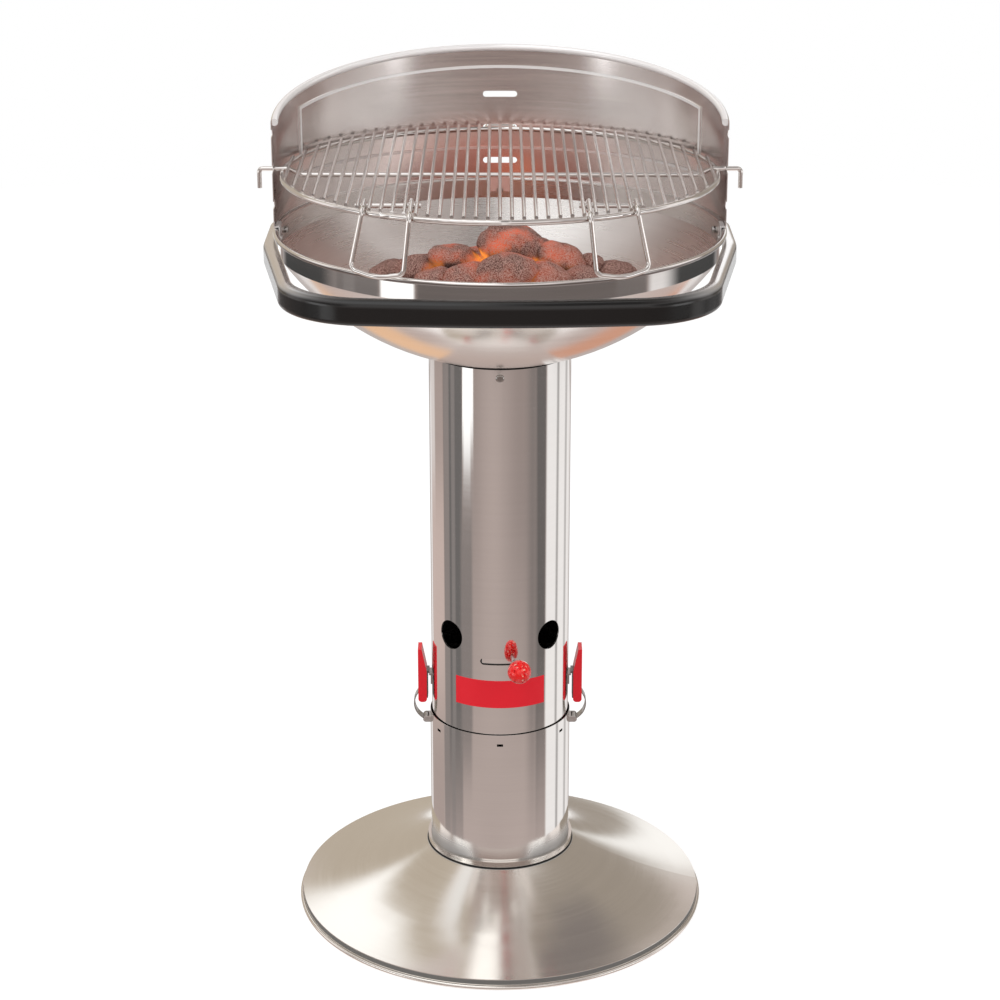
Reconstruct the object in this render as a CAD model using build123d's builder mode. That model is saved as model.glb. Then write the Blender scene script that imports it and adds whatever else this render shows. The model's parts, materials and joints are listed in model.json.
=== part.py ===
"""Charcoal grill on a column: spun foot, two-part tube, bowl, wind guard, cooking grate and clips.

Millimetres. The origin is on the floor on the column's axis, +Z is up and the front faces -Y.
"""
from build123d import *
import math
import os

os.makedirs("parts", exist_ok=True)

# Cooking grate: its diameter sets the scale of the grill
grate_diameter = 475.0
grate_rise = 58.6
ring_wire = 6.0
bar_wire = 4.0
bar_pitch = 12.0
cross_wire = 5.0
weld_bite = 0.6
arm_bite = 1.6
hook_stand = 14.5
hook_drop = 21.0
cross_setback = 16.0
crank_run = 16.0
wire_bend = 4.0
tongue_width = 30.0
tongue_stand = 7.5

# Handles of the cooking grate: their legs lie in the gaps after these bars, counted from the middle
handle_wire = 5.0
handle_outer_bar = 11
handle_inner_bar = 7
handle_pivot_inset = 71.5
handle_pivot_overhang = 7.0
handle_splay = 13.0
handle_lean = 7.0
handle_bend = 8.0
handle_bulge = 8.0
handle_sag = 4.0
handle_loop_round = 40.0
handle_ring_gap = 5.0
handle_rim_gap = 1.6
pivot_bite = 1.1
pivot_fit = 0.08
eye_turn = 250.0

# Bowl
rim_top = 809.4
rim_bead_radius = 2.8
rim_bite = 0.5
bowl_clearance = 3.3
band_height = 24.0
bowl_depth = 125.15
bowl_sheet = 1.0
mouth_lip = 8.2

# Wind guard
guard_inset = 0.9
guard_sheet = 1.0
guard_end_rise = 120.6
guard_back_rise = 36.5
guard_front_reach = 12.0
guard_hem = 8.0
rib_width = 3.0
rib_proud = 1.5
rib_drop = 25.0
rib_rise = 33.6
rib_angle = 66.0
level_pitch = 39.0
level_count = 3
working_level = 1
slot_side_gap = 2.5
slot_gap = 1.0
notch_gap = 3.0
tab_half_width = 13.0
tab_drop = 18.0
tab_stand = 0.6

# Hand rail
rail_width = 14.0
rail_height = 27.0
rail_inner_round = 2.5
rail_crown_round = 8.0
rail_under_round = 5.5
rail_end_round = 2.0
rail_drop = 9.4
rail_front_stand = 36.35
rail_corner_stand = 18.6
rail_corner_inset = 41.4
rail_bow_radius = 1000.0
rail_corner_radius = 90.0
rail_side_radius = 120.0
rail_back_end = 60.0
rail_bend_front = 30.0
rail_clearance = 0.6
bracket_length = 36.0
bracket_centre = 40.0
bracket_low_margin = 5.0
bracket_stock = 60.0

# Column
upper_tube_radius = 79.0
upper_tube_wall = 0.8
upper_tube_head_gap = 1.8
lower_tube_wall = 0.8
tube_clearance = 1.2
seam_level = 237.0
stop_drop = 9.5
stop_width = 7.0
stop_thickness = 1.2
stop_reach = 3.0
stop_window = 3.0
stop_count = 6
collar_clearance = 0.2
collar_wall = 0.8
collar_length = 26.0
collar_screw_drop = 10.8
collar_screw_count = 3
sheet_clearance = 0.1

# Air holes and damper
damper_slot_rise = 90.0
damper_slot_angle = 16.3
damper_slot_height = 8.0
damper_rest_angle = 11.5
damper_clearance = 0.4
damper_wall = 0.8
damper_margin = 20.0
air_rise = 23.8
air_diameter = 34.0
air_angle = 45.0
air_count = 4
stem_diameter = 5.0
stem_head_diameter = 10.0
stem_head_height = 2.4
knob_diameter = 26.6
knob_stand = 29.2
knob_socket = 9.0
knob_flats = 9
knob_flat_depth = 0.6
knob_row_angle = 42.0
lug_drop = 15.0
lug_thickness = 2.0
lug_width = 12.0
lug_reach = 9.0
lug_count = 3
loose_seat = 0.3

# Paper grate and charcoal grate
paper_wire = 4.0
paper_clearance = 2.5
paper_wire_count = 3
charcoal_ring_radius = 116.0
charcoal_ring_wire = 6.0
charcoal_bar_wire = 5.0
charcoal_bar_pitch = 16.0

# Foot, its socket and the water pan
foot_radius = 237.6
foot_sheet = 1.2
foot_flange = 8.0
foot_bead_radius = 2.5
foot_wall_setback = 3.6
foot_wall_top = 12.0
foot_cone_radius = 570.0
foot_neck_gap = 3.8
foot_neck_top = 77.5
foot_neck_height = 8.0
socket_wall = 1.5
socket_floor = 32.0
socket_flange_reach = 10.0
socket_joint_drop = 3.0
socket_joint_height = 3.0
foot_screw_rise = 20.0
foot_screw_count = 3
pan_wall = 1.0
pan_height = 88.0
pan_clearance = 0.2

# Small screws and bolts
screw_diameter = 5.0
screw_head_diameter = 9.5
screw_head_height = 2.8
screw_crown = 2.0
bolt_diameter = 4.0
bolt_head_diameter = 7.6
bolt_head_height = 2.2
bolt_rail_bite = 8.0
nut_width = 7.0
nut_height = 3.2
nut_stickout = 2.0
bolt_clearance = 0.1
bolt_drop = 14.4

# Clips that lock the two tubes
clip_pin_diameter = 3.0
clip_fit = 0.05
clip_low_pin_stand = 5.0
clip_low_pin_drop = 13.0
clip_top_pin_stand = 13.0
clip_top_pin_rise = 21.0
strap_thickness = 1.2
strap_width = 12.0
strap_bow = 18.4
strap_bow_rise = 3.4
strap_eye_wall = 1.6
lever_width = 22.0
lever_stand = 4.4
lever_cover = 2.6
lever_tip_depth = 4.4
lever_top_rise = 76.0
lever_knee_rise = 48.0
lever_foot_rise = 10.0
lever_corner = 4.0
lever_pin_inset = 2.0
pocket_side_gap = 0.6
pocket_back_gap = 2.3
pocket_top_rise = 8.0
spine_thickness = 1.2
spine_width = 16.0
nose_overlap = 0.3
nose_height = 3.0
catch_width = 18.0
catch_base = 1.2
catch_reach = 3.0
catch_ledge = 2.0
catch_height = 13.0
catch_gap = 0.3
ear_thickness = 2.0
ear_margin = 3.4
ear_gap = 0.4

# Places that follow from the sizes above
ring_radius = (grate_diameter - ring_wire) / 2
grate_level = rim_top + grate_rise
bar_level = grate_level + (ring_wire + bar_wire) / 2 - weld_bite
under_bar_level = bar_level - (bar_wire + cross_wire) / 2 + weld_bite
arm_level = grate_level + (ring_wire + cross_wire) / 2 - arm_bite
pivot_level = bar_level - (bar_wire + handle_wire) / 2 + pivot_bite
pivot_back = ring_radius - handle_pivot_inset
handle_outer_x = (handle_outer_bar + 0.5) * bar_pitch
handle_inner_x = (handle_inner_bar + 0.5) * bar_pitch
band_radius = grate_diameter / 2 + bowl_clearance
band_inner = band_radius - bowl_sheet
band_low = rim_top - band_height
bowl_radius = (band_radius**2 + bowl_depth**2) / (2 * bowl_depth)
bowl_inner_radius = bowl_radius - bowl_sheet
bowl_centre = band_low - bowl_depth + bowl_radius
rim_radius = band_radius + 2 * rim_bead_radius - rim_bite
rim_bead_level = rim_top - rim_bead_radius
guard_radius = rim_radius - guard_inset
guard_inner = guard_radius - guard_sheet
guard_end_top = rim_top + guard_end_rise
guard_tilt = math.degrees(math.atan(guard_back_rise / guard_radius))
rail_top = rim_top - rail_drop
rail_level = rail_top - rail_height / 2
rail_inner_x = band_radius + rail_clearance
rail_side_x = rail_inner_x + rail_width / 2
side_bolt_level = rim_top - bolt_drop
upper_tube_inner = upper_tube_radius - upper_tube_wall
upper_tube_top = bowl_centre - math.sqrt(bowl_radius**2 - upper_tube_inner**2) - upper_tube_head_gap
lower_tube_inner = upper_tube_radius + tube_clearance
lower_tube_radius = lower_tube_inner + lower_tube_wall
stop_level = seam_level - stop_drop
bowl_mouth_radius = upper_tube_inner - mouth_lip
damper_slot_level = seam_level + damper_slot_rise
air_level = damper_slot_level + air_rise
lug_level = damper_slot_level - lug_drop
foot_screw_level = socket_floor + foot_screw_rise
LEFT_AND_RIGHT = (("left", -1), ("right", 1))


def towards(angle):
    """Direction from the column's axis at an angle from the front, positive towards +X."""
    return Vector(math.sin(math.radians(angle)), -math.cos(math.radians(angle)), 0)


def radial_plane(angle, level, reach=0.0):
    """Plane that faces outwards at an angle from the front, at a reach from the column's axis."""
    out = towards(angle)
    return Plane(origin=out * reach + Vector(0, 0, level), x_dir=towards(angle + 90), z_dir=out)


def sphere_level(radius, reach):
    """Height of the bowl's spherical wall at a reach from the axis."""
    return bowl_centre - math.sqrt(radius**2 - reach**2)


def sphere_turn(reach):
    """Angle from straight down of the bowl's outside at a reach from the axis."""
    return math.degrees(math.asin(reach / bowl_radius))


def spread(count):
    """Angles of equally spaced pieces, the first one at the front."""
    return [360 / count * place for place in range(count)]


# Foot: one spun sheet with a turned-in flange, a rolled bead, a low wall, a hollow cone and a neck
foot_neck_radius = lower_tube_radius + foot_neck_gap
foot_wall_radius = foot_radius - foot_wall_setback
cone_low = (foot_wall_radius, foot_wall_top)
cone_high = (foot_neck_radius, foot_neck_top - foot_neck_height)
with BuildPart() as foot:
    with BuildSketch(Plane.XZ):
        with BuildLine():
            Polyline((foot_radius - foot_flange, 0), (foot_wall_radius, 0), cone_low)
            RadiusArc(cone_low, cone_high, foot_cone_radius)
            Polyline(
                cone_high,
                (foot_neck_radius, foot_neck_top),
                (lower_tube_radius + loose_seat, foot_neck_top),
            )
            offset(amount=foot_sheet, kind=Kind.ARC, side=Side.LEFT, closed=True)
        make_face()
        with Locations((foot_radius - foot_bead_radius, foot_bead_radius)):
            Circle(foot_bead_radius)
    revolve(axis=Axis.Z)
foot.part.label = "foot"
export_step(foot.part, "parts/foot.step")

# Socket welded in the foot's neck: it carries the lower tube on an inner flange
socket_inner = lower_tube_radius + sheet_clearance
socket_outer = socket_inner + socket_wall
socket_top = foot_neck_top - foot_sheet
joint_top = socket_top - socket_joint_drop
with BuildPart() as foot_socket:
    with BuildSketch(Plane.XZ):
        with BuildLine():
            Polyline(
                (socket_inner - socket_flange_reach, socket_floor - socket_wall),
                (socket_outer, socket_floor - socket_wall),
                (socket_outer, joint_top - socket_joint_height),
                (foot_neck_radius - foot_sheet, joint_top - socket_joint_height),
                (foot_neck_radius - foot_sheet, joint_top),
                (socket_outer, joint_top),
                (socket_outer, socket_top),
                (socket_inner, socket_top),
                (socket_inner, socket_floor),
                (socket_inner - socket_flange_reach, socket_floor),
                close=True,
            )
        make_face()
    revolve(axis=Axis.Z)
    for angle in spread(foot_screw_count):
        with BuildSketch(radial_plane(angle, foot_screw_level)):
            Circle(screw_diameter / 2 + bolt_clearance)
        extrude(amount=socket_outer + socket_wall, mode=Mode.SUBTRACT)
foot_socket.part.label = "foot_socket"
export_step(foot_socket.part, "parts/foot_socket.step")

# Lower tube: holds the water pan, and six pressed stops carry the upper tube
with BuildPart() as lower_tube:
    with BuildSketch(Plane.XY.offset(socket_floor)):
        Circle(lower_tube_radius)
        Circle(lower_tube_inner, mode=Mode.SUBTRACT)
    extrude(amount=seam_level - socket_floor)
    for angle in spread(stop_count):
        stop_plane = radial_plane(angle, stop_level, lower_tube_inner - stop_reach)
        with BuildSketch(stop_plane):
            with Locations((0, -stop_thickness - stop_window / 2)):
                Rectangle(stop_width, stop_window)
        extrude(amount=stop_reach + 2 * lower_tube_wall, mode=Mode.SUBTRACT)
        with BuildSketch(stop_plane):
            with Locations((0, -stop_thickness / 2)):
                Rectangle(stop_width, stop_thickness)
        extrude(amount=stop_reach + lower_tube_wall / 2)
    for angle in spread(foot_screw_count):
        with BuildSketch(radial_plane(angle, foot_screw_level)):
            Circle(screw_diameter / 2 + bolt_clearance)
        extrude(amount=lower_tube_radius + lower_tube_wall, mode=Mode.SUBTRACT)
lower_tube.part.label = "lower_tube"
export_step(lower_tube.part, "parts/lower_tube.step")

# Water pan: a drawn cup on the socket's flange, under the column
pan_radius = lower_tube_inner - pan_clearance
with BuildPart() as water_pan:
    with BuildSketch(Plane.XZ):
        with BuildLine():
            Polyline(
                (0, socket_floor),
                (pan_radius, socket_floor),
                (pan_radius, socket_floor + pan_height),
                (pan_radius - pan_wall, socket_floor + pan_height),
                (pan_radius - pan_wall, socket_floor + pan_wall),
                (0, socket_floor + pan_wall),
                close=True,
            )
        make_face()
    revolve(axis=Axis.Z)
    for angle in spread(foot_screw_count):
        with BuildSketch(radial_plane(angle, foot_screw_level)):
            Circle(screw_diameter / 2 + bolt_clearance)
        extrude(amount=lower_tube_radius, mode=Mode.SUBTRACT)
water_pan.part.label = "water_pan"
export_step(water_pan.part, "parts/water_pan.step")

# Screws that hold the socket, the lower tube and the pan, driven from under the foot
with BuildPart() as foot_screws:
    for angle in spread(foot_screw_count):
        with BuildSketch(radial_plane(angle, foot_screw_level, pan_radius - pan_wall)):
            Circle(screw_diameter / 2)
        extrude(amount=socket_outer - pan_radius + pan_wall)
        with BuildSketch(radial_plane(angle, foot_screw_level, socket_outer)):
            Circle(screw_head_diameter / 2)
        extrude(amount=screw_head_height)
foot_screws.part.label = "foot_screws"
export_step(foot_screws.part, "parts/foot_screws.step")

# Upper tube: chimney with air holes, the damper's slot and inner lugs
collar_outer = upper_tube_inner - collar_clearance
collar_inner = collar_outer - collar_wall
collar_top = sphere_level(bowl_radius, collar_inner)
collar_screw_level = collar_top - collar_screw_drop
with BuildPart() as upper_tube:
    with BuildSketch(Plane.XY.offset(stop_level)):
        Circle(upper_tube_radius)
        Circle(upper_tube_inner, mode=Mode.SUBTRACT)
    extrude(amount=upper_tube_top - stop_level)
    for angle in spread(air_count):
        with BuildSketch(radial_plane(angle + air_angle, air_level)):
            Circle(air_diameter / 2)
        extrude(amount=upper_tube_radius + upper_tube_wall, mode=Mode.SUBTRACT)
    with BuildSketch(radial_plane(0, damper_slot_level)):
        slot_span = 2 * upper_tube_radius * math.sin(math.radians(damper_slot_angle))
        SlotOverall(slot_span, damper_slot_height)
    extrude(amount=upper_tube_radius + upper_tube_wall, mode=Mode.SUBTRACT)
    for angle in spread(collar_screw_count):
        with BuildSketch(radial_plane(angle, collar_screw_level)):
            Circle(screw_diameter / 2 + bolt_clearance)
        extrude(amount=upper_tube_radius + upper_tube_wall, mode=Mode.SUBTRACT)
    for angle in spread(lug_count):
        with BuildSketch(radial_plane(angle, lug_level - lug_thickness / 2, upper_tube_inner - lug_reach)):
            Rectangle(lug_width, lug_thickness)
        extrude(amount=lug_reach + upper_tube_wall / 2)
upper_tube.part.label = "upper_tube"
export_step(upper_tube.part, "parts/upper_tube.step")

# Damper ring: turns inside the upper tube and covers or opens its air holes
damper_outer = upper_tube_inner - damper_clearance
damper_inner = damper_outer - damper_wall
damper_low = lug_level + loose_seat
damper_top = air_level + air_diameter / 2 + damper_margin
with BuildPart() as damper_ring:
    with BuildSketch(Plane.XY.offset(damper_low)):
        Circle(damper_outer)
        Circle(damper_inner, mode=Mode.SUBTRACT)
    extrude(amount=damper_top - damper_low)
    for angle in spread(air_count):
        with BuildSketch(radial_plane(angle + air_angle, air_level)):
            Circle(air_diameter / 2)
        extrude(amount=damper_outer + damper_wall, mode=Mode.SUBTRACT)
    with BuildSketch(radial_plane(damper_rest_angle, damper_slot_level)):
        Circle(stem_diameter / 2)
    extrude(amount=damper_outer + damper_wall, mode=Mode.SUBTRACT)
damper_ring.part.label = "damper_ring"
export_step(damper_ring.part, "parts/damper_ring.step")

# Damper stem: a headed pin through the damper ring and the slot
knob_reach = upper_tube_radius + knob_stand
stem_seat = math.sqrt(damper_inner**2 - (stem_head_diameter / 2) ** 2)
stem_end = knob_reach - knob_diameter / 2 + knob_socket
with BuildPart() as damper_stem:
    with BuildSketch(radial_plane(damper_rest_angle, damper_slot_level, stem_seat - stem_head_height)):
        Circle(stem_head_diameter / 2)
    extrude(amount=stem_head_height)
    with BuildSketch(radial_plane(damper_rest_angle, damper_slot_level, stem_seat)):
        Circle(stem_diameter / 2)
    extrude(amount=stem_end - stem_seat)
damper_stem.part.label = "damper_stem"
export_step(damper_stem.part, "parts/damper_stem.step")

# Damper knob: a ball with three rows of ground flats, socketed on the stem
knob_place = radial_plane(damper_rest_angle, damper_slot_level, knob_reach)
with BuildPart(knob_place) as damper_knob:
    Sphere(knob_diameter / 2)
    for row in (-1, 0, 1):
        for place in range(knob_flats):
            turned = Location((0, 0, 0), (0, 0, 360 / knob_flats * (place + row / 2)))
            tipped = Location((0, 0, 0), (0, 90 - row * knob_row_angle, 0))
            cut_plane = Plane(knob_place.location * turned * tipped)
            with BuildSketch(cut_plane.offset(knob_diameter / 2 - knob_flat_depth)):
                Circle(knob_diameter / 4)
            extrude(amount=2 * knob_flat_depth, mode=Mode.SUBTRACT)
    with BuildSketch(knob_place.offset(-knob_diameter / 2)):
        Circle(stem_diameter / 2)
    extrude(amount=knob_socket, mode=Mode.SUBTRACT)
damper_knob.part.label = "damper_knob"
export_step(damper_knob.part, "parts/damper_knob.step")

# Paper grate: a wire star on the upper tube's lugs, under the charcoal
paper_level = lug_level + paper_wire / 2
paper_ring_radius = damper_inner - paper_clearance - paper_wire / 2
with BuildPart() as paper_grate:
    with BuildSketch(Plane.XZ):
        with Locations((paper_ring_radius, paper_level)):
            Circle(paper_wire / 2)
    revolve(axis=Axis.Z)
    for place in range(paper_wire_count):
        spoke_angle = 180 / paper_wire_count * (place + 0.5)
        with BuildSketch(radial_plane(spoke_angle, paper_level, -paper_ring_radius)):
            Circle(paper_wire / 2)
        extrude(amount=2 * paper_ring_radius)
paper_grate.part.label = "paper_grate"
export_step(paper_grate.part, "parts/paper_grate.step")

# Bowl: a spun dish with an upright band and a rolled rim
mouth_turn = sphere_turn(bowl_mouth_radius)
band_turn = sphere_turn(band_radius)
with BuildPart() as bowl:
    with BuildSketch(Plane.XZ):
        with BuildLine():
            CenterArc((0, bowl_centre), bowl_radius, mouth_turn - 90, band_turn - mouth_turn)
            Line((band_radius, band_low), (band_radius, rim_bead_level))
            offset(amount=bowl_sheet, kind=Kind.INTERSECTION, side=Side.LEFT, closed=True)
        make_face()
        with Locations((rim_radius - rim_bead_radius, rim_bead_level)):
            Circle(rim_bead_radius)
    revolve(axis=Axis.Z)
    with BuildSketch(radial_plane(180, side_bolt_level)):
        Circle(bolt_diameter / 2 + bolt_clearance)
    extrude(amount=rim_radius, mode=Mode.SUBTRACT)
    for side in (-1, 1):
        for back in (0, bracket_centre):
            with BuildSketch(Plane(origin=(0, back, side_bolt_level), z_dir=(side, 0, 0))):
                Circle(bolt_diameter / 2 + bolt_clearance)
            extrude(amount=rim_radius, mode=Mode.SUBTRACT)
bowl.part.label = "bowl"
export_step(bowl.part, "parts/bowl.step")

# Collar welded under the bowl's mouth: it plugs into the upper tube
with BuildPart() as bowl_collar:
    with BuildSketch(Plane.XY.offset(collar_top - collar_length)):
        Circle(collar_outer)
        Circle(collar_inner, mode=Mode.SUBTRACT)
    extrude(amount=collar_length)
    for angle in spread(collar_screw_count):
        with BuildSketch(radial_plane(angle, collar_screw_level)):
            Circle(screw_diameter / 2 + bolt_clearance)
        extrude(amount=upper_tube_radius, mode=Mode.SUBTRACT)
bowl_collar.part.label = "bowl_collar"
export_step(bowl_collar.part, "parts/bowl_collar.step")

# Round-head screws through the upper tube into the collar
with BuildPart() as collar_screws:
    for angle in spread(collar_screw_count):
        with BuildSketch(radial_plane(angle, collar_screw_level, collar_inner - screw_diameter / 2)):
            Circle(screw_diameter / 2)
        extrude(amount=upper_tube_radius - collar_inner + screw_diameter / 2)
        with BuildSketch(radial_plane(angle, collar_screw_level, upper_tube_radius)):
            Circle(screw_head_diameter / 2)
        extrude(amount=screw_head_height)
        crown = radial_plane(angle, collar_screw_level, upper_tube_radius + screw_head_height)
        crown_face = collar_screws.faces().sort_by_distance(crown.origin)[0]
        fillet(crown_face.edges(), screw_crown)
collar_screws.part.label = "collar_screws"
export_step(collar_screws.part, "parts/collar_screws.step")

# Wind guard: a half-round sheet with a sloping rolled hem, a pressed rib, level slots and notches
guard_top_plane = Plane(origin=(0, 0, guard_end_top)).rotated((guard_tilt, 0, 0))
guard_front_angle = 90 + math.degrees(math.asin(guard_front_reach / guard_radius))
hem_plane = guard_top_plane.offset(-guard_hem / 2)
hem_radius = guard_radius - guard_hem / 2
tab_radius = band_inner - sheet_clearance
tab_top = rim_top + tab_stand + guard_sheet
tab_turn = math.degrees(tab_half_width / tab_radius)
weld_radius = guard_inner + guard_sheet / 2
over_top = guard_end_top + 2 * guard_back_rise
rib_low = rim_top + rib_rise
rib_turn = rib_angle - math.degrees(rib_width / guard_radius)
slot_width = tongue_width + cross_wire + 2 * slot_side_gap
slot_height = cross_wire + 2 * slot_gap
notch_height = cross_wire + notch_gap
notch_low = arm_level - cross_wire / 2 - loose_seat


def ring_sector(outer, inner, half_angle, low, high):
    """Upright sector of a ring, centred behind the column's axis."""
    with BuildPart() as sector:
        with BuildSketch(Plane.XY.offset(low)):
            with BuildLine():
                first = CenterArc((0, 0), outer, 90 - half_angle, 2 * half_angle)
                second = CenterArc((0, 0), inner, 90 - half_angle, 2 * half_angle)
                Line(first @ 0, second @ 0)
                Line(first @ 1, second @ 1)
            make_face()
        extrude(amount=high - low)
    return sector.part


guard_wall = ring_sector(guard_radius, guard_inner, guard_front_angle, rim_top, over_top)
rib_outline = ring_sector(weld_radius, guard_inner - rib_proud, rib_angle, rib_low, over_top)
rib_window = ring_sector(guard_radius, tab_radius, rib_turn, rib_low + rib_width, over_top)
tab_plate = ring_sector(tab_radius, tab_radius - guard_sheet, tab_turn, tab_top - tab_drop, tab_top)
tab_bridge = ring_sector(weld_radius, tab_radius - guard_sheet, tab_turn, tab_top - guard_sheet, tab_top)
with BuildPart() as rib_inside:
    add(rib_window)
    split(bisect_by=guard_top_plane.offset(-rib_drop - rib_width), keep=Keep.BOTTOM)
with BuildPart() as guard_rib:
    add(rib_outline)
    split(bisect_by=guard_top_plane.offset(-rib_drop), keep=Keep.BOTTOM)
    add(rib_inside.part, mode=Mode.SUBTRACT)
with BuildPart() as wind_guard:
    add(guard_wall)
    split(bisect_by=hem_plane, keep=Keep.BOTTOM)
    add(guard_rib.part)
    with BuildLine(hem_plane) as hem_path:
        EllipticalCenterArc(
            (0, 0),
            hem_radius,
            hem_radius / math.cos(math.radians(guard_tilt)),
            start_angle=90 - guard_front_angle,
            arc_size=2 * guard_front_angle,
        )
    with BuildSketch(Plane(origin=hem_path.line @ 0, z_dir=hem_path.line % 0)):
        Circle(guard_hem / 2)
    sweep(path=hem_path.line)
    for level in range(level_count):
        rise = (level - working_level) * level_pitch
        with BuildSketch(radial_plane(180, under_bar_level + rise)):
            SlotOverall(slot_width, slot_height)
        extrude(amount=2 * guard_radius, mode=Mode.SUBTRACT)
        with BuildSketch(Plane.XZ.offset(-cross_wire / 2 - loose_seat)):
            with Locations((0, notch_low + notch_height / 2 + rise)):
                Rectangle(3 * guard_radius, notch_height)
        extrude(amount=2 * guard_front_reach, mode=Mode.SUBTRACT)
    for angle in (-90, 0, 90):
        add(tab_plate, rotation=(0, 0, angle))
        add(tab_bridge, rotation=(0, 0, angle))
        with BuildSketch(radial_plane(180 + angle, side_bolt_level)):
            Circle(bolt_diameter / 2 + bolt_clearance)
        extrude(amount=tab_radius + guard_sheet, mode=Mode.SUBTRACT)
wind_guard.part.label = "wind_guard"
export_step(wind_guard.part, "parts/wind_guard.step")

# Hand rail: a thick rounded bar from one side of the bowl round the front to the other
rail_corner_x = rail_side_x - rail_corner_inset
rail_corner_y = -rim_radius - rail_corner_stand
rail_points = [
    (rail_side_x, rail_back_end),
    (rail_side_x, -rail_bend_front),
    (rail_corner_x, rail_corner_y),
    (0, -rim_radius - rail_front_stand),
    (-rail_corner_x, rail_corner_y),
    (-rail_side_x, -rail_bend_front),
    (-rail_side_x, rail_back_end),
]
rail_radii = [rail_side_radius, rail_corner_radius, rail_bow_radius, rail_corner_radius, rail_side_radius]
with BuildPart() as hand_rail:
    with BuildLine(Plane.XY.offset(rail_level)) as rail_path:
        FilletPolyline(*rail_points, radius=rail_radii)
    with BuildSketch(Plane(origin=rail_path.line @ 0, x_dir=(1, 0, 0), z_dir=(0, -1, 0))) as rail_profile:
        Rectangle(rail_width, rail_height)
        fillet(rail_profile.vertices().group_by(Axis.X)[0], rail_inner_round)
        fillet(rail_profile.vertices().group_by(Axis.X)[-1].sort_by(Axis.Y)[0], rail_under_round)
        fillet(rail_profile.vertices().group_by(Axis.X)[-1].sort_by(Axis.Y)[-1], rail_crown_round)
    sweep()
    end_faces = hand_rail.faces().filter_by(Axis.Y).sort_by(Axis.Y)[-2:]
    fillet([edge for face in end_faces for edge in face.edges()], rail_end_round)
    for side in (-1, 1):
        for back in (0, bracket_centre):
            hole_plane = Plane(origin=(side * rail_inner_x, back, side_bolt_level), z_dir=(side, 0, 0))
            with BuildSketch(hole_plane.offset(-rail_clearance)):
                Circle(bolt_diameter / 2)
            extrude(amount=bolt_rail_bite + rail_clearance, mode=Mode.SUBTRACT)
hand_rail.part.label = "hand_rail"
export_step(hand_rail.part, "parts/hand_rail.step")

# Body of the bowl's outside, used to shape what is welded to it
with BuildPart() as bowl_outside:
    with BuildSketch(Plane.XZ):
        with BuildLine():
            CenterArc((0, bowl_centre), bowl_radius, -90, band_turn)
            Polyline(
                (band_radius, band_low),
                (band_radius, rim_top),
                (0, rim_top),
                (0, bowl_centre - bowl_radius),
            )
        make_face()
    revolve(axis=Axis.Z)

# Rail brackets: blocks that fill the space between the bowl and the rail
bracket_low = rail_top - rail_height + bracket_low_margin
bracket_high = rail_top - rail_inner_round
for name, side in LEFT_AND_RIGHT:
    with BuildPart() as rail_bracket:
        with BuildSketch(Plane.XY.offset(bracket_low)):
            with Locations((side * (rail_inner_x - bracket_stock / 2), bracket_centre)):
                Rectangle(bracket_stock, bracket_length)
        extrude(amount=bracket_high - bracket_low)
        add(bowl_outside.part, mode=Mode.SUBTRACT)
        with BuildSketch(Plane(origin=(0, bracket_centre, side_bolt_level), z_dir=(side, 0, 0))):
            Circle(bolt_diameter / 2 + bolt_clearance)
        extrude(amount=rail_inner_x + rail_clearance, mode=Mode.SUBTRACT)
    rail_bracket.part.label = f"rail_bracket_{name}"
    export_step(rail_bracket.part, f"parts/rail_bracket_{name}.step")

# Bolts from inside the bowl into the rail, through the brackets
rail_bolt_seat = math.sqrt(band_inner**2 - (bracket_centre + bolt_head_diameter / 2) ** 2)
with BuildPart() as rail_bolts:
    for side in (-1, 1):
        seat_point = (side * rail_bolt_seat, bracket_centre, side_bolt_level)
        bolt_plane = Plane(origin=seat_point, z_dir=(side, 0, 0))
        with BuildSketch(bolt_plane.offset(-bolt_head_height)):
            Circle(bolt_head_diameter / 2)
        extrude(amount=bolt_head_height)
        with BuildSketch(bolt_plane):
            Circle(bolt_diameter / 2)
        extrude(amount=rail_inner_x + bolt_rail_bite - rail_bolt_seat)
rail_bolts.part.label = "rail_bolts"
export_step(rail_bolts.part, "parts/rail_bolts.step")

# Bolts of the wind guard's tabs: one at the back, and one each side that also holds the rail
tab_seat = math.sqrt((tab_radius - guard_sheet) ** 2 - (bolt_head_diameter / 2) ** 2)
side_bolt_end = rail_inner_x + bolt_rail_bite
back_bolt_end = band_radius + nut_height + nut_stickout
with BuildPart() as guard_bolts:
    for angle, end in ((-90, side_bolt_end), (90, side_bolt_end), (180, back_bolt_end)):
        with BuildSketch(radial_plane(angle, side_bolt_level, tab_seat - bolt_head_height)):
            Circle(bolt_head_diameter / 2)
        extrude(amount=bolt_head_height)
        with BuildSketch(radial_plane(angle, side_bolt_level, tab_seat)):
            Circle(bolt_diameter / 2)
        extrude(amount=end - tab_seat)
guard_bolts.part.label = "guard_bolts"
export_step(guard_bolts.part, "parts/guard_bolts.step")

# Nut on the wind guard's back bolt
with BuildPart() as guard_nut:
    with BuildSketch(radial_plane(180, side_bolt_level, band_radius)):
        RegularPolygon(nut_width / 2, 6, major_radius=False)
        Circle(bolt_diameter / 2, mode=Mode.SUBTRACT)
    extrude(amount=nut_height)
guard_nut.part.label = "guard_nut"
export_step(guard_nut.part, "parts/guard_nut.step")

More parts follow.
